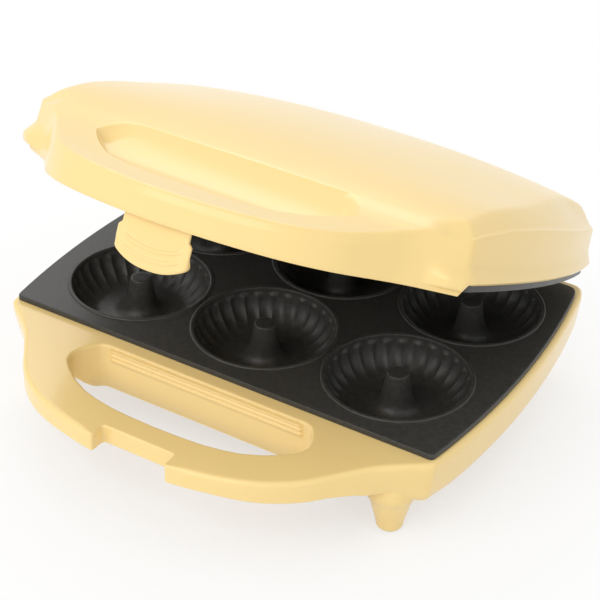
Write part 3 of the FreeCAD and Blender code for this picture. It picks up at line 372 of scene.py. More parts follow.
# ---------------------------------------------------------------- base
def base_shell():
    """Upper half of the base.

    Wall: a quarter circle from the deck, then down and inwards by body_lean, then a quarter
    ellipse under it.  The deck and its underside are flat sheets between the outer loop, the
    finger hole and the well under the plate.  A rib in the hole stands out by a square root of
    the closeness to its centre height.  The front wall stops short of the leaning sides."""
    shell = Shell()
    loop = soft_normals(housing_loop(2.5, 1200, True, 1.25), 7.0)
    x, y = abs(loop[0][:, 0]), loop[0][:, 1]
    body = step(-106, -96, y)
    notch = (1 - step(20.5, 30, x)) * (1 - step(-135, -128, y))
    wide = 2.4 - 1.6 * notch
    low = np.where(y < CORNER_Y, np.interp(x, [40, 60, 86, 94, 100, 106, 112, 117],
                                           [35, 33.8, 33, 31.3, 28.3, 25, 22, 20]), FLOOR_Z)
    under_in = 0.8 + 2.2 * body
    under_up = 0.8 + 5.2 * body
    inside = 2.4 - 0.3 * notch

    def lean(z):
        """Inward lean of the wall at height z."""
        return body_lean(x, y, np.clip((DECK - 3 - z) / 22, 0, 1))

    turn = np.linspace(0, np.pi / 2, 8)
    rows = [ring(loop, wide + 0.6, DECK)]
    for a in turn:
        z = DECK - wide * (1 - math.cos(a))
        rows.append(ring(loop, wide * (1 - math.sin(a)) + lean(z), z))
    top, bottom = DECK - wide, low + under_up
    for t in np.linspace(0, 1, 12)[1:]:
        z = top + (bottom - top) * t
        rows.append(ring(loop, lean(z), z))
    for a in turn[1:]:
        z = bottom - under_up * math.sin(a)
        rows.append(ring(loop, under_in * (1 - math.cos(a)) + lean(z), z))
    rows.append(ring(loop, under_in + 1.4 - 0.5 * body - 0.2 * notch + lean(low), low))
    rows.append(ring(loop, under_in + 1.5 - 0.5 * body - 0.2 * notch + lean(low), low + 1.5))
    rows.append(ring(loop, inside + lean(bottom), bottom + 1.5))
    rows.append(ring(loop, inside + lean(DECK - WALL), DECK - WALL))
    shell.loft(np.stack(rows))

    hole = hole_loop(620)
    hx, hy = abs(hole[0][:, 0]), hole[0][:, 1]
    hole_low = 33.5 - 13.5 * step(-110, -92, hy)
    ribbed = step(-91.5, -90.6, hy) * (1 - step(54, 55.5, hx))
    around = [ring(hole, -2.0, DECK)]
    for a in turn:
        around.append(ring(hole, -1.4 * (1 - math.sin(a)), DECK - 1.4 * (1 - math.cos(a))))
    for z in np.linspace(DECK - 1.45, 31.0, 56):
        crest = max(1 - abs(z - centre) / 1.15 for centre in RIBS)
        band = float(step(35.4, 36.4, z))
        rib = 0.9 * math.sqrt(max(crest, 0.0)) + 0.5 * band
        around.append(ring(hole, rib * ribbed, np.maximum(z, hole_low + 0.8)))
    around.append(ring(hole, 0.0, hole_low + 0.7))
    around.append(ring(hole, -0.7, hole_low))
    around.append(ring(hole, -WALL + 0.2, hole_low))
    around.append(ring(hole, -WALL, hole_low + 0.2))
    around.append(ring(hole, -WALL, DECK - WALL))
    shell.loft(np.stack(around))

    well = ring(plate_loop(700), 3.5, DECK)
    shell.sheet(rows[0], [around[0], well], DECK)
    shell.sheet(rows[-1], [around[-1], well], DECK - WALL)
    shell.loft(np.stack([well, well - (0, 0, WALL)]))

    for foot, half in ((20.2, 105.5), (33.0, 112.0)):
        front_wall = [(-89.9, foot), (-87.4, foot), (-87.4, DECK - 1), (-89.9, DECK - 1)]
        shell.bar(front_wall, -half, half, 0.2)
    turn = np.radians(np.linspace(190, -38, 40))
    ear = [(REAR_WALL - 2, 26.0)] + knuckle_arc(turn) + [(REAR_WALL - 1, 26.0)]
    for centre in KNUCKLES:
        for offset in (-EAR_OFFSET, EAR_OFFSET):
            shell.bar(ear, centre + offset - 3, centre + offset + 3, 0.5)
    return shell


def base_floor():
    """Bottom cover inside the shell, with vent slots, screw wells and four tapered feet.
    A foot's profile is a cone that runs up into the shell, closed below by a quarter circle and
    a pocket for its pad."""
    shell = Shell()
    loop = soft_normals(housing_loop(2.5, 700, False, 1.25), 7.0)
    p = loop[0]
    inner = ring(loop, 4.2 + body_lean(p[:, 0], p[:, 1], 1.0), 0)[:, :2]
    inner[:, 1] = np.maximum(inner[:, 1], -87.2)
    slots = []
    for index in range(-4, 5):
        turn = np.arange(28) * 2 * np.pi / 28
        cx = index * 9.0 + 1.5 * np.cos(turn)
        cy = 20.5 * np.sign(np.round(np.sin(turn), 6)) + 1.5 * np.sin(turn)
        slots.append(np.column_stack([cx, cy]))
    wells = []
    turn = np.arange(40) * 2 * np.pi / 40
    for sx in (-1, 1):
        for sy in (-1, 1):
            wells.append(np.column_stack([sx * 37.65 + 3.6 * np.cos(turn),
                                          sy * 65.5 + 3.6 * np.sin(turn)]))
    holes = slots + wells
    low, high = FLOOR_Z, FLOOR_Z + 2.3
    rim = even_loop(inner, 700, 0.6)[0]
    shell.sheet(rim, holes, low)
    shell.sheet(rim, holes, high)
    for edge in [rim] + holes:
        shell.loft(np.stack([np.column_stack([edge, np.full(len(edge), z)]) for z in (low, high)]))
    a = np.linspace(0, np.pi / 2, 9)
    for x in (-FOOT_X, FOOT_X):
        for y in FEET_Y:
            tip = [(4.4 + 2.2 * math.sin(t), 0.8 + 2.6 * (1 - math.cos(t))) for t in a]
            side = [(7.4, 7.0), (8.7, 12.0), (9.9, 16.5), (10.6, 19.0), (11.6, 20.3), (11.8, 24.0),
                    (11.0, 28.5)]
            pocket = [(0.1, 1.9), (4.2, 1.9), (4.2, 0.95)]
            shell.post(x, y, pocket + tip + side, 64)
    return shell


# ---------------------------------------------------------------- cooking plates
def cup_rings(centre, flutes, depth, post_top, bead, columns):
    """One ring mould as rings round its centre: the bead is a half circle, the wall runs along
    r = 21 + 14 cos(a)^1.15, z = -17 sin(a) with |sin| scallops, and the post flares to its foot."""
    turn = np.arange(columns) * 2 * np.pi / columns
    scallop = 1 - abs(np.sin(flutes * turn / 2))
    rows = []
    for a in np.linspace(0, np.pi, 9):
        rows.append((36.1 + 1.1 * math.cos(a), bead * math.sin(a), 0.0))
    for a in np.radians([3, 5.5, 8, 10, 12, 15, 19, 24, 30, 36, 42, 48, 54, 60, 66, 72, 78, 84, 90]):
        z = -17 * math.sin(a)
        cut = float(step(-1.6, -3.4, z) * (1 - 0.75 * step(-12.5, -16.6, z)))
        rows.append((21 + 14 * math.cos(a) ** 1.15, z, cut))
    rows += [(19.0, -17.0, 0.12), (16.8, -17.0, 0.0), (14.5, -16.8, 0.0)]
    for t in np.linspace(0, 1, 9)[1:]:
        r = 14.5 * (1 - t) ** 2 + 2 * 8.4 * t * (1 - t) + 7.2 * t * t
        rows.append((r, -16.8 * (1 - t) ** 2 - 2 * 16.2 * t * (1 - t) - 8.5 * t * t, 0.0))
    for t in np.linspace(0, 1, 6)[1:]:
        rows.append((7.2 - 1.8 * t, -8.5 + (post_top - 0.9 + 8.5) * t, 0.0))
    for a in np.linspace(0, np.pi / 2, 6)[1:]:
        rows.append((4.5 + 0.9 * math.cos(a), post_top - 0.9 + 0.9 * math.sin(a), 0.0))
    rows += [(2.5, post_top, 0.0)]
    grid = []
    for r, z, cut in rows:
        radius = r - depth * cut * scallop
        grid.append(np.column_stack([centre[0] + radius * np.cos(turn), centre[1] + radius * np.sin(turn),
                                     np.full(columns, z)]))
    return np.stack(grid)


def cooking_plate(settings, post_top, bead, flange):
    """Plate face up on z = 0: a flat sheet round six ring moulds, a rounded edge, and a back."""
    shell = Shell()
    loop = plate_loop(800)
    columns = settings.flutes * 8
    turn = np.linspace(0, np.pi / 2, 6)
    edge = [ring(loop, 1.5, 0.0)]
    edge += [ring(loop, 0.6 - 0.6 * math.sin(a), 0.6 * math.cos(a) - 0.6) for a in turn]
    edge += [ring(loop, 0.0, -flange + 0.3), ring(loop, 0.3, -flange), ring(loop, 2.0, -flange),
             ring(loop, 2.2, -3.0)]
    shell.loft(np.stack(edge))
    mouths, backs = [], []
    angle = np.arange(columns) * 2 * np.pi / columns
    for centre in MOULDS:
        rings = cup_rings(centre, settings.flutes, settings.flute_depth, post_top, bead, columns)
        shell.loft(rings)
        shell.fan(rings[-1], (centre[0], centre[1], post_top))
        mouths.append(rings[0])
        back = [np.column_stack([centre[0] + r * np.cos(angle), centre[1] + r * np.sin(angle),
                                 np.full(columns, z)])
                for r, z in ((36.5, -3.0), (34.0, -8.0), (30.5, -13.0), (25.5, -17.5), (21.0, -19.2),
                             (8.0, -19.2))]
        shell.loft(np.stack(back))
        shell.fan(back[-1], (centre[0], centre[1], -19.2))
        backs.append(back[0])
    shell.sheet(edge[0], mouths, 0.0)
    shell.sheet(edge[-1], backs, -3.0)
    return shell


def lower_plate_place(points):
    """Puts a plate drawn face up on z = 0 into the base."""
    return place(points + (0, 0, PLATE_TOP))


def upper_plate_place(points):
    """Turns a plate drawn face up upside down and puts it into the lid."""
    return place_on_lid(points * (1, 1, -1) + (0, 0, UPPER_FACE))


# ---------------------------------------------------------------- lid
def lid_top(x, y):
    """Height of the lid's top: a curve along the middle, less a drop with |x|^2.3 to each side."""
    middle = smooth_through([-153, -138, -128, -112, -104, -96, -88, -78,
                             -66, -50, -30, 0, 30, 60, 84, 92],
                            [61.2, 62.7, 64.2, 67.7, 70, 73.2, 76.8, 80.8,
                             84.6, 88.2, 91.4, 94.2, 94.8, 92.6, 88, 86], y)
    drop = smooth_through([-125, -100, -80, -60, -40, -10, 90], [0, 0.2, 0.8, 2.2, 4.2, 6.6, 6.6], y)
    return middle - drop * (abs(x) / 106) ** 2.3


def lid_roof(points, loop):
    """Height of the lid's top with its chamfer: the smooth lesser, (a+b-sqrt((a-b)2+r2))/2, of the
    crowned top and a slope that rises from the wall's upper edge with the distance from the loop."""
    x, y = abs(points[:, 0]), points[:, 1]
    away = np.sqrt(np.min((x[:, None] - abs(loop[:, 0])) ** 2 + (y[:, None] - loop[:, 1]) ** 2, 1))
    wall = smooth_through([-100, -94, -88, -84, -78, -62, -50, -20, 13, 53, 77, 90],
                          [74.5, 72.3, 70.5, 70.8, 72.2, 74.1, 75.2, 75.5, 74.3, 72.1, 71.1, 70.4], y)
    wall += 12 * (1 - step(-103, -95, y)) + 6 * step(40, 80, y) * (1 - step(94, 112, x))
    slope = wall + 0.95 * away
    top = lid_top(x, y)
    return (top + slope - np.sqrt((top - slope) ** 2 + 1.5 ** 2)) / 2


def polar_match(inner, outer, centre):
    """Points of the inner loop in the same directions from the centre as those of the outer."""
    def angle(p):
        """Direction from the centre."""
        return np.arctan2(p[:, 1] - centre[1], p[:, 0] - centre[0])
    a = angle(inner)
    order = np.argsort(a)
    a = a[order]
    r = np.hypot(*(inner - centre).T)[order]
    a3 = np.concatenate([a - 2 * np.pi, a, a + 2 * np.pi])
    want = angle(outer)
    radius = np.interp(want, a3, np.tile(r, 3))
    return np.column_stack([centre[0] + radius * np.cos(want), centre[1] + radius * np.sin(want)])


def lid_shell():
    """Lid drawn closed, as rings round the middle of its scoop: dish, crowned top, chamfer,
    rounded edge, wall, flared rim, and the same again 2.5 mm inside.

    The dish lies 8 mm under the top times (1-(1-r/28)2)(1-(1-f/7)2), with r and f the
    distances to its straight rear edge and to the bowed rest of its outline."""
    shell = Shell()
    loop = housing_loop(0.0, 700, False, 1.3)
    p, n = loop
    y = p[:, 1]
    centre = np.array([0.0, -108.0])
    rim = scoop_loop(900)
    bow = rim[rim[:, 1] < SCOOP_REAR - 0.6]
    edge = polar_match(rim, p, centre)

    side = step(-99, -90, y)
    inset_edge = 0.5
    round_edge = 2.4 - 0.8 * side
    outline = p - n * (inset_edge + round_edge)[:, None]

    def dish(q):
        """Depth of the scoop at points of the plan."""
        rear = np.clip(SCOOP_REAR - q[:, 1], 0, 28) / 28
        front = np.sqrt(np.min((q[:, :1] - bow[:, 0]) ** 2 + (q[:, 1:] - bow[:, 1]) ** 2, 1))
        front = np.clip(front, 0, 7) / 7
        return 8.0 * (1 - (1 - rear) ** 2) * (1 - (1 - front) ** 2)

    def roof(q, drop=0.0):
        """Points of the plan raised to the lid's top, less a drop."""
        return np.column_stack([q, lid_roof(q, p) - drop])

    rows = []
    for t in np.concatenate([np.linspace(0.04, 0.84, 20), np.linspace(0.86, 0.995, 14)]):
        q = centre + (edge - centre) * t
        rows.append(roof(q, dish(q)))
    rows.append(roof(centre + (edge - centre) * 1.004, 0.02))
    for t in np.concatenate([np.linspace(0.012, 0.78, 26), np.linspace(0.8, 1.0, 22)]):
        rows.append(roof(edge + (outline - edge) * t))
    wall_top = rows[-1][:, 2]
    for a in np.linspace(0, np.pi / 2, 8)[1:]:
        rows.append(ring(loop, inset_edge + round_edge * (1 - math.sin(a)),
                         wall_top - round_edge * (1 - math.cos(a))))
    front = y < CORNER_Y
    low = np.where(front, FRONT_RIM, SIDE_RIM)
    flare = smooth_through([-90, -70, -40, 0, 40, 90], [5.4, 4.7, 3.8, 3.8, 3.2, 2.2], y)
    flare = step(-96, -88, y) * flare
    flare_top = np.minimum(62.5, wall_top - round_edge - 2.0)
    for t in np.linspace(0, 1, 7)[1:]:
        z = wall_top - round_edge + (flare_top - wall_top + round_edge) * t
        rows.append(ring(loop, inset_edge * (1 - t), z))
    for t in np.linspace(0, 1, 9)[1:]:
        out = flare * (0.5 - 0.5 * math.cos(math.pi * t * 0.86)) / 0.952
        rows.append(ring(loop, -out, flare_top + (FLARE_Z - flare_top) * t))
    for t in np.linspace(0, 1, 8)[1:]:
        out = np.where(front, math.cos(t * math.pi / 2) ** 0.7, 1 - 0.3 * t)
        z = np.where(front, FLARE_Z - 5.2 * math.sin(t * math.pi / 2), FLARE_Z - 1.2 * t)
        rows.append(ring(loop, -flare * out, z))
    rows.append(ring(loop, np.where(front, 0.0, -flare * 0.6), np.where(front, 47.3, low)))
    rows.append(ring(loop, np.where(front, 0.3, -flare * 0.5), low))
    rows.append(ring(loop, 2.2, low))
    rows.append(ring(loop, WALL, low + 0.3))
    rows.append(ring(loop, WALL + inset_edge, wall_top - round_edge - 1.0))
    inner = p - n * (inset_edge + round_edge + WALL)[:, None]
    for t in np.linspace(1, 0, 12):
        rows.append(roof(edge + (inner - edge) * t, WALL * 1.15))
    for t in (0.93, 0.8, 0.6, 0.4, 0.2, 0.04):
        q = centre + (edge - centre) * t
        rows.append(roof(q, WALL * 1.15 + dish(q)))
    shell.loft(np.stack(rows))
    for end in (rows[0], rows[-1]):
        shell.fan(end, end.mean(0))

    across = np.linspace(-115, 115, 60)
    ceiling = lid_top(across, np.full(60, CORNER_Y)) - 1.5 - 6.0 * step(98, 116, abs(across))
    section = [(CORNER_Y - 2.5, 47.4), (CORNER_Y, 47.4), (CORNER_Y, 1), (CORNER_Y - 2.5, 1)]
    wall = np.stack([np.column_stack([across, np.full(60, sy), ceiling if sz == 1 else np.full(60, sz)])
                     for sy, sz in section], 1)
    shell.loft(wall)
    for end in (wall[0], wall[-1]):
        shell.fan(end, end.mean(0))
    for sign in (-1, 1):
        x0, x1 = sorted((sign * 17.9, sign * 21.9))
        ear = [(GRIP_FRONT + 2.7, 48.2), (-142.3, 48.2), (-140.8, 49.6), (-140.8, 58.5),
               (GRIP_FRONT + 2.7, 58.5)]
        shell.bar(ear, x0, x1, 0.3)
        shell.post(sign * LUG_X, CORNER_Y - 6.2, [(1.7, 55.2), (4.3, 54.7), (4.5, 55.0), (4.5, 66.0)], 40)
    turn = np.radians(np.linspace(20, -230, 44))
    arm = knuckle_arc(turn)
    arm += [(REAR_WALL + 3.4, 52.5), (REAR_WALL - 1.5, 52.9), (REAR_WALL - 1.5, 69.5)]
    for knuckle in KNUCKLES:
        shell.bar(arm, knuckle - 8, knuckle + 8, 0.5)
    return shell


# ---------------------------------------------------------------- latch
def latch_body():
    """Latch hanging from its pin: rings of a rounded rectangle, |x|^12.5 + |y|^4 = 1, carried down
    from the eye to the bowed lower edge of the tab, whose front face has two raised bows, each
    exp(-d^4) of the distance from a line that follows the lower edge."""
    shell = Shell()
    front, columns = LATCH_FRONT, 160
    across = np.linspace(1, -1, columns // 2, endpoint=False)
    cx = np.sin(np.pi / 2 * np.concatenate([across, -across]))
    cy = (1 - abs(cx) ** 12.5) ** 0.25 * np.repeat([1, -1], columns // 2)
    rows = []
    levels = [(53.0 + 2.35 * math.sin(a), 17.4, 2.4 - 2.35 * math.cos(a), 4.7 * math.cos(a) + 0.06)
              for a in np.linspace(np.pi / 2, 0, 6)]
    levels += [(51.0, 17.4, 0.05, 4.7), (48.6, 17.4, 0.0, 4.6), (47.4, 17.4, 0.0, 2.4),
               (44.5, 17.5, 0.0, 2.3), (42.1, 17.6, 0.0, 2.3), (41.4, 18.4, 0.0, 2.3),
               (LATCH_TAB_TOP, 19.2, 0.0, 2.3)]
    for z, half, start, thick in levels:
        ys = front + start + thick * (0.5 - 0.5 * cy)
        rows.append(np.column_stack([cx * half, ys, np.full(columns, z)]))
    for t in np.concatenate([np.linspace(0.04, 0.94, 36), [0.965, 0.985, 1.0]]):
        end = max(0.0, (t - 0.9) / 0.1)
        shrink = 1 - math.sqrt(max(1 - end * end, 0.0))
        half = LATCH_TAB_HALF - 0.9 * shrink
        xs = cx * half
        bottom = LATCH_BOTTOM + LATCH_SIDES_UP * (abs(xs) / LATCH_TAB_HALF) ** 2.4
        z = LATCH_TAB_TOP + (bottom - LATCH_TAB_TOP) * t
        thick = 2.3 + 2.4 * step(36.5, 31.4, z)
        bow = sum(0.8 * np.exp(-((z - bottom - h) / 0.8) ** 4) for h in (5.0, 9.6))
        bow = bow * step(16.5, 12.5, abs(xs)) * (cy > 0.3)
        inner = 1.0 * shrink
        ys = front + inner + (thick - 2 * inner) * (0.5 - 0.5 * cy) - bow
        rows.append(np.column_stack([xs, ys, z]))
    shell.loft(np.stack(rows))
    for end in (rows[0], rows[-1]):
        shell.fan(end, end.mean(0))
    return shell


# ---------------------------------------------------------------- materials
def shader(name):
    """New material, its node tree and its main shader."""
    material = bpy.data.materials.new(name)
    material.use_nodes = True
    tree = material.node_tree
    return material, tree, tree.nodes["Principled BSDF"]


def grain(tree, scale, detail=3.0):
    """Noise on the object's own coordinates."""
    where = tree.nodes.new("ShaderNodeTexCoord")
    noise = tree.nodes.new("ShaderNodeTexNoise")
    noise.inputs["Scale"].default_value = scale
    noise.inputs["Detail"].default_value = detail
    tree.links.new(where.outputs["Object"], noise.inputs["Vector"])
    return noise.outputs["Fac"]


def spread(tree, value, low, high):
    """Maps 0.3 to 0.7 of a value onto low to high."""
    node = tree.nodes.new("ShaderNodeMapRange")
    node.inputs["From Min"].default_value = 0.3
    node.inputs["From Max"].default_value = 0.7
    node.inputs["To Min"].default_value = low
    node.inputs["To Max"].default_value = high
    tree.links.new(value, node.inputs["Value"])
    return node.outputs["Result"]


def two_tones(tree, value, first, second):
    """Colour running from first to second with a value."""
    node = tree.nodes.new("ShaderNodeValToRGB")
    node.color_ramp.elements[0].position = 0.35
    node.color_ramp.elements[0].color = (*first, 1)
    node.color_ramp.elements[1].position = 0.65
    node.color_ramp.elements[1].color = (*second, 1)
    tree.links.new(value, node.inputs["Fac"])
    return node.outputs["Color"]


def relief(tree, principled, value, height, strength):
    """Bump of the given height in metres."""
    bump = tree.nodes.new("ShaderNodeBump")
    bump.inputs["Strength"].default_value = strength
    bump.inputs["Distance"].default_value = height
    tree.links.new(value, bump.inputs["Height"])
    tree.links.new(bump.outputs["Normal"], principled.inputs["Normal"])


def surface(name, tones, scale, roughness, height=0.0, strength=0.3, metallic=0.0, coat=0.0, level=0.5,
            fine=None):
    """Material with two close tones in a noise, roughness that varies with it, and a fine relief."""
    material, tree, principled = shader(name)
    cloud = grain(tree, scale)
    tree.links.new(two_tones(tree, cloud, *tones), principled.inputs["Base Color"])
    tree.links.new(spread(tree, cloud, *roughness), principled.inputs["Roughness"])
    principled.inputs["Metallic"].default_value = metallic
    principled.inputs["Coat Weight"].default_value = coat
    principled.inputs["Coat Roughness"].default_value = 0.06
    principled.inputs["Specular IOR Level"].default_value = level
    if height:
        relief(tree, principled, grain(tree, fine or scale * 6, 4.0), height, strength)
    return material


def darker(colour, share):
    """The colour times a share."""
    return tuple(c * share for c in colour)


def make_materials(settings):
    """One finish for each material slot of the part."""
    shell = tuple(settings.shell_colour)
    coat = tuple(settings.coating_colour)
    return {
        "housing": surface("vanilla_gloss_plastic", (darker(shell, 0.985), shell), 14, (0.20, 0.27),
                           0.00002, 0.12, coat=0.15, level=0.4, fine=260),
        "nonstick_plate": surface("satin_nonstick_coating", (darker(coat, 0.86), darker(coat, 1.14)), 420,
                                  (0.30, 0.40), 0.00003, 0.35, fine=2600, level=0.32),
        "rubber": surface("foot_rubber", ((0.40, 0.37, 0.31), (0.46, 0.43, 0.36)), 300,
                          (0.75, 0.9), 0.00005),
        "black_plastic": surface("black_gland_plastic", ((0.018, 0.018, 0.018), (0.03, 0.03, 0.03)), 500,
                                 (0.45, 0.6), 0.00004),
        "steel": surface("zinc_plated_steel", ((0.50, 0.50, 0.51), (0.64, 0.64, 0.65)), 900, (0.26, 0.38),
                         0.00001, metallic=1.0),
        "heater_sheath": surface("heat_darkened_sheath", ((0.16, 0.14, 0.12), (0.30, 0.27, 0.24)), 120,
                                 (0.40, 0.55), 0.00002, metallic=0.9),
        "sheet_metal": surface("rolled_reflector_sheet", ((0.62, 0.62, 0.63), (0.74, 0.74, 0.75)), 260,
                               (0.25, 0.36), 0.00001, metallic=1.0),
        "ceramic": surface("matt_ceramic", ((0.68, 0.66, 0.60), (0.78, 0.76, 0.70)), 350,
                           (0.6, 0.75), 0.00003),
    }


# ---------------------------------------------------------------- settings
class DonutMakerSettings(bpy.types.PropertyGroup):
    """Sizes and colours of the donut maker that a user would change."""
    shell_colour: bpy.props.FloatVectorProperty(
        name="Housing colour", description="Colour of the moulded housing", size=3, min=0, max=1,
        default=(0.940, 0.707, 0.303), subtype="COLOR")
    coating_colour: bpy.props.FloatVectorProperty(
        name="Coating colour", description="Colour of the non-stick coating", size=3, min=0, max=1,
        default=(0.050, 0.049, 0.045), subtype="COLOR")
    flutes: bpy.props.IntProperty(
        name="Flutes", description="Number of flutes round each mould", default=28, min=8, max=40)
    flute_depth: bpy.props.FloatProperty(
        name="Flute depth", description="Depth of the flutes in millimetres", default=1.3, min=0, max=2)


class StageSettings(bpy.types.PropertyGroup):
    """Floor, lamps and camera."""
    floor_colour: bpy.props.FloatVectorProperty(
        name="Floor colour", description="Colour of the floor near the object", size=3, min=0, max=1,
        default=(0.93, 0.93, 0.93), subtype="COLOR")
    sky_level: bpy.props.FloatProperty(
        name="Sky level", description="Strength of the even light from all round", default=0.80, min=0)
    key_power: bpy.props.FloatProperty(
        name="Key lamp", description="Power of the large soft lamp", default=9.2, min=0, unit="POWER")
    focal_length: bpy.props.FloatProperty(
        name="Focal length", description="Lens of the camera in millimetres", default=114.12, min=10)


def settings_of(context):
    """The object's own settings in the scene."""
    return context.scene.donut_maker


def finishes(context):
    """The shared materials, made on first use."""
    found = {m.get("finish_of"): m for m in bpy.data.materials if m.get("finish_of")}
    if not found:
        found = make_materials(settings_of(context))
        for slot, material in found.items():
            material["finish_of"] = slot
    return found


# ---------------------------------------------------------------- operators
class BuildBase(bpy.types.Operator):
    """Base shell with its grip, finger hole and hinge ears, and the floor with its feet"""
    bl_idname = "donut_maker.build_base"
    bl_label = "Build Base"

    def execute(self, context):
        gloss = finishes(context)["housing"]
        make_piece("base_housing", base_shell(), place, gloss, "base", ["base_shell"])
        make_piece("base_bottom", base_floor(), place, gloss, "base", ["base_floor"])
        return {"FINISHED"}


class BuildPlates(bpy.types.Operator):
    """Both cooking plates with their fluted ring moulds"""
    bl_idname = "donut_maker.build_plates"
    bl_label = "Build Cooking Plates"

    def execute(self, context):
        settings = settings_of(context)
        coated = finishes(context)["nonstick_plate"]
        lower = cooking_plate(settings, 2.5, 0.8, 3.0)
        make_piece("lower_cooking_plate", lower, lower_plate_place, coated, "base",
                   ["lower_plate", "lower_moulds"], 40)
        upper = cooking_plate(settings, -2.2, 0.0, 3.6)
        for x in (-LUG_X, LUG_X):
            lug = [(CORNER_Y - 11.2, -3.1), (PLATE_FRONT + 3, -3.1), (PLATE_FRONT + 3, -5.6),
                   (CORNER_Y - 11.2, -5.6)]
            upper.bar(lug, x - 6, x + 6, 0.4)
        make_piece("upper_cooking_plate", upper, upper_plate_place, coated, "lid",
                   ["upper_plate", "upper_moulds"], 40)
        return {"FINISHED"}


class BuildLid(bpy.types.Operator):
    """Lid housing with its crowned top, scoop, flared rim and hinge arms"""
    bl_idname = "donut_maker.build_lid"
    bl_label = "Build Lid"

    def execute(self, context):
        make_piece("lid_housing", lid_shell(), place_on_lid, finishes(context)["housing"], "lid",
                   ["lid_shell"], 45)
        return {"FINISHED"}


class BuildLatch(bpy.types.Operator):
    """Snap latch under the front of the lid"""
    bl_idname = "donut_maker.build_latch"
    bl_label = "Build Latch"

    def execute(self, context):
        make_piece("snap_latch", latch_body(), place_on_lid, finishes(context)["housing"], "latch",
                   ["latch"], 45)
        return {"FINISHED"}


class FinishMetal(bpy.types.Operator):
    """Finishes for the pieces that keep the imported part's own shape"""
    bl_idname = "donut_maker.finish_fittings"
    bl_label = "Finish Fittings"

    def execute(self, context):
        slots = {entry["node"]: entry["material_slot"] for entry in frame["record"]["subparts"]}
        found = finishes(context)
        for name, node in frame["nodes"].items():
            node.data.materials.clear()
            node.data.materials.append(found[slots[name]])
        return {"FINISHED"}


class BuildStage(bpy.types.Operator):
    """Pale floor, soft lamps and the camera"""
    bl_idname = "donut_maker.build_stage"
    bl_label = "Build Stage"

    def execute(self, context):
        stage = context.scene.donut_maker_stage
        add_floor(stage)
        add_sky(context.scene, stage)
        add_lamps(context.scene, stage)
        add_camera(context.scene, stage)
        context.scene.view_settings.view_transform = "Standard"
        return {"FINISHED"}


def seen_plainly(tree):
    """1 for rays from the camera, off gloss and through glass, which see the plain white."""
    path = tree.nodes.new("ShaderNodeLightPath")
    found = path.outputs["Is Camera Ray"]
    for kind in ("Is Glossy Ray", "Is Transmission Ray"):
        either = tree.nodes.new("ShaderNodeMath")
        either.operation = "MAXIMUM"
        tree.links.new(found, either.inputs[0])
        tree.links.new(path.outputs[kind], either.inputs[1])
        found = either.outputs["Value"]
    return found


def add_floor(stage):
    """Round disc under the object: a grid of rings whose radius grows as the square of the row.
    It is matt near the object, and fades to plain white with the distance from it."""
    turn = np.arange(96) * 2 * np.pi / 96
    radius = 6.0 * np.linspace(0, 1, 24)[1:] ** 2
    grid = np.stack([np.column_stack([r * np.cos(turn), r * np.sin(turn), 0 * turn]) for r in radius])
    shell = Shell()
    shell.loft(grid)
    shell.fan(grid[0], (0, 0, 0))
    material, tree, principled = shader("pale_floor")
    principled.inputs["Base Color"].default_value = (*stage.floor_colour, 1)
    principled.inputs["Roughness"].default_value = 0.9
    principled.inputs["Specular IOR Level"].default_value = 0.1
    where = tree.nodes.new("ShaderNodeTexCoord")
    size = tree.nodes.new("ShaderNodeVectorMath")
    size.operation = "LENGTH"
    fade = tree.nodes.new("ShaderNodeMapRange")
    fade.inputs["From Min"].default_value = 0.10
    fade.inputs["From Max"].default_value = 0.24
    fade.inputs["To Min"].default_value = 0.6
    seen = tree.nodes.new("ShaderNodeMath")
    seen.operation = "MULTIPLY"
    white = tree.nodes.new("ShaderNodeEmission")
    mix = tree.nodes.new("ShaderNodeMixShader")
    tree.links.new(where.outputs["Object"], size.inputs[0])
    tree.links.new(size.outputs["Value"], fade.inputs["Value"])
    tree.links.new(fade.outputs["Result"], seen.inputs[0])
    tree.links.new(seen_plainly(tree), seen.inputs[1])
    tree.links.new(seen.outputs["Value"], mix.inputs["Fac"])
    tree.links.new(principled.outputs["BSDF"], mix.inputs[1])
    tree.links.new(white.outputs["Emission"], mix.inputs[2])
    tree.links.new(mix.outputs["Shader"], tree.nodes["Material Output"].inputs["Surface"])
    mesh = bpy.data.meshes.new("floor")
    mesh.from_pydata(np.vstack(shell.points).tolist(), [], shell.faces)
    mesh.materials.append(material)
    floor = bpy.data.objects.new("floor", mesh)
    bpy.context.scene.collection.objects.link(floor)


def add_sky(scene, stage):
    """Even white light; what the camera sees of it is plain white."""
    world = bpy.data.worlds.new("soft_sky")
    scene.world = world
    world.use_nodes = True
    tree = world.node_tree
    tree.nodes.clear()
    lit = tree.nodes.new("ShaderNodeBackground")
    lit.inputs["Color"].default_value = (1.0, 0.99, 0.975, 1)
    lit.inputs["Strength"].default_value = stage.sky_level
    seen = tree.nodes.new("ShaderNodeBackground")
    seen.inputs["Color"].default_value = (1, 1, 1, 1)
    mix = tree.nodes.new("ShaderNodeMixShader")
    out = tree.nodes.new("ShaderNodeOutputWorld")
    tree.links.new(seen_plainly(tree), mix.inputs["Fac"])
    tree.links.new(lit.outputs["Background"], mix.inputs[1])
    tree.links.new(seen.outputs["Background"], mix.inputs[2])
    tree.links.new(mix.outputs["Shader"], out.inputs["Surface"])


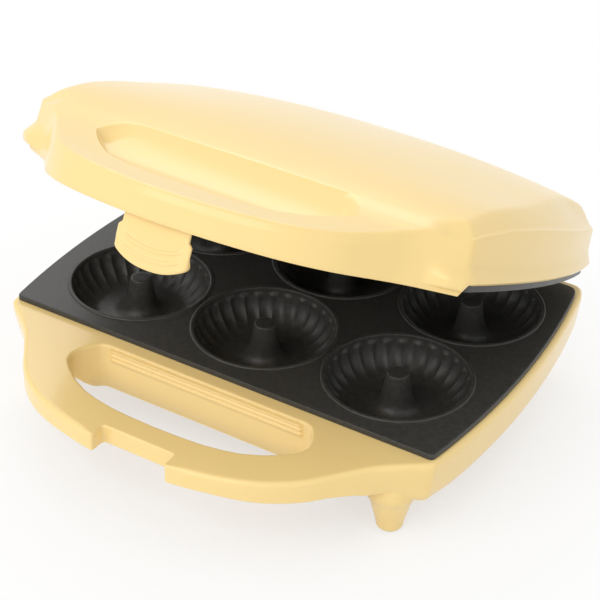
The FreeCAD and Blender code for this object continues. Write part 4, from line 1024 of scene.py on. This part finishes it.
def add_lamps(scene, stage):
    """Large soft panel high in front to the left, and a weaker one behind to the left."""
    lamps = [("key_lamp", (-0.30, -1.20, 1.15), 1.5, 1.1, stage.key_power),
             ("rim_lamp", (-0.60, 0.75, 0.95), 0.75, 0.5, stage.key_power * 0.28)]
    for name, spot, width, height, power in lamps:
        data = bpy.data.lights.new(name, "AREA")
        data.shape = "RECTANGLE"
        data.size = width
        data.size_y = height
        data.energy = power
        lamp = bpy.data.objects.new(name, data)
        lamp.location = spot
        lamp.rotation_euler = (Vector((0, 0, 0.06)) - lamp.location).to_track_quat("-Z", "Y").to_euler()
        scene.collection.objects.link(lamp)


def add_camera(scene, stage):
    """Camera seen from azimuth 31.35 degrees, elevation 32.97, rolled by 1.52."""
    az, el, roll = np.radians((31.35, 32.971, 1.517))
    back = np.array([math.sin(az) * math.cos(el), -math.cos(az) * math.cos(el), math.sin(el)])
    right = np.cross((0, 0, 1), back)
    right /= np.linalg.norm(right)
    up = np.cross(back, right)
    c, s = math.cos(roll), math.sin(roll)
    right, up = right * c + up * s, -right * s + up * c
    spot = back * 0.96265 - right * 0.002682 - up * 0.003615 + (0, SHIFT / 1000, 0.048)
    data = bpy.data.cameras.new("camera")
    data.lens = stage.focal_length
    data.sensor_width = 36.0
    camera = bpy.data.objects.new("camera", data)
    frame_of = np.column_stack([right, up, back])
    camera.matrix_world = Matrix.Translation(Vector(spot)) @ Matrix(frame_of.tolist()).to_4x4()
    scene.collection.objects.link(camera)
    scene.camera = camera


class DonutMakerPanel(bpy.types.Panel):
    """The buttons and settings in the sidebar"""
    bl_idname = "VIEW3D_PT_donut_maker"
    bl_label = "Donut Maker"
    bl_space_type = "VIEW_3D"
    bl_region_type = "UI"
    bl_category = "Donut Maker"

    def draw(self, context):
        """Lists the settings and the build buttons."""
        for group in (context.scene.donut_maker, context.scene.donut_maker_stage):
            for name in group.__annotations__:
                self.layout.prop(group, name)
        for operator in OPERATORS:
            self.layout.operator(operator.bl_idname)


OPERATORS = (FinishMetal, BuildBase, BuildPlates, BuildLid, BuildLatch, BuildStage)
CLASSES = (DonutMakerSettings, StageSettings) + OPERATORS + (DonutMakerPanel,)


def register():
    """Registers the classes and hangs the settings on the scene."""
    for cls in CLASSES:
        bpy.utils.register_class(cls)
    bpy.types.Scene.donut_maker = bpy.props.PointerProperty(type=DonutMakerSettings)
    bpy.types.Scene.donut_maker_stage = bpy.props.PointerProperty(type=StageSettings)


def unregister():
    """Undoes register."""
    del bpy.types.Scene.donut_maker_stage
    del bpy.types.Scene.donut_maker
    for cls in reversed(CLASSES):
        bpy.utils.unregister_class(cls)


def main():
    """Builds every piece and the stage."""
    register()
    bpy.ops.donut_maker.finish_fittings()
    bpy.ops.donut_maker.build_base()
    bpy.ops.donut_maker.build_plates()
    bpy.ops.donut_maker.build_lid()
    bpy.ops.donut_maker.build_latch()
    bpy.ops.donut_maker.build_stage()


if __name__ == "__main__":
    main()
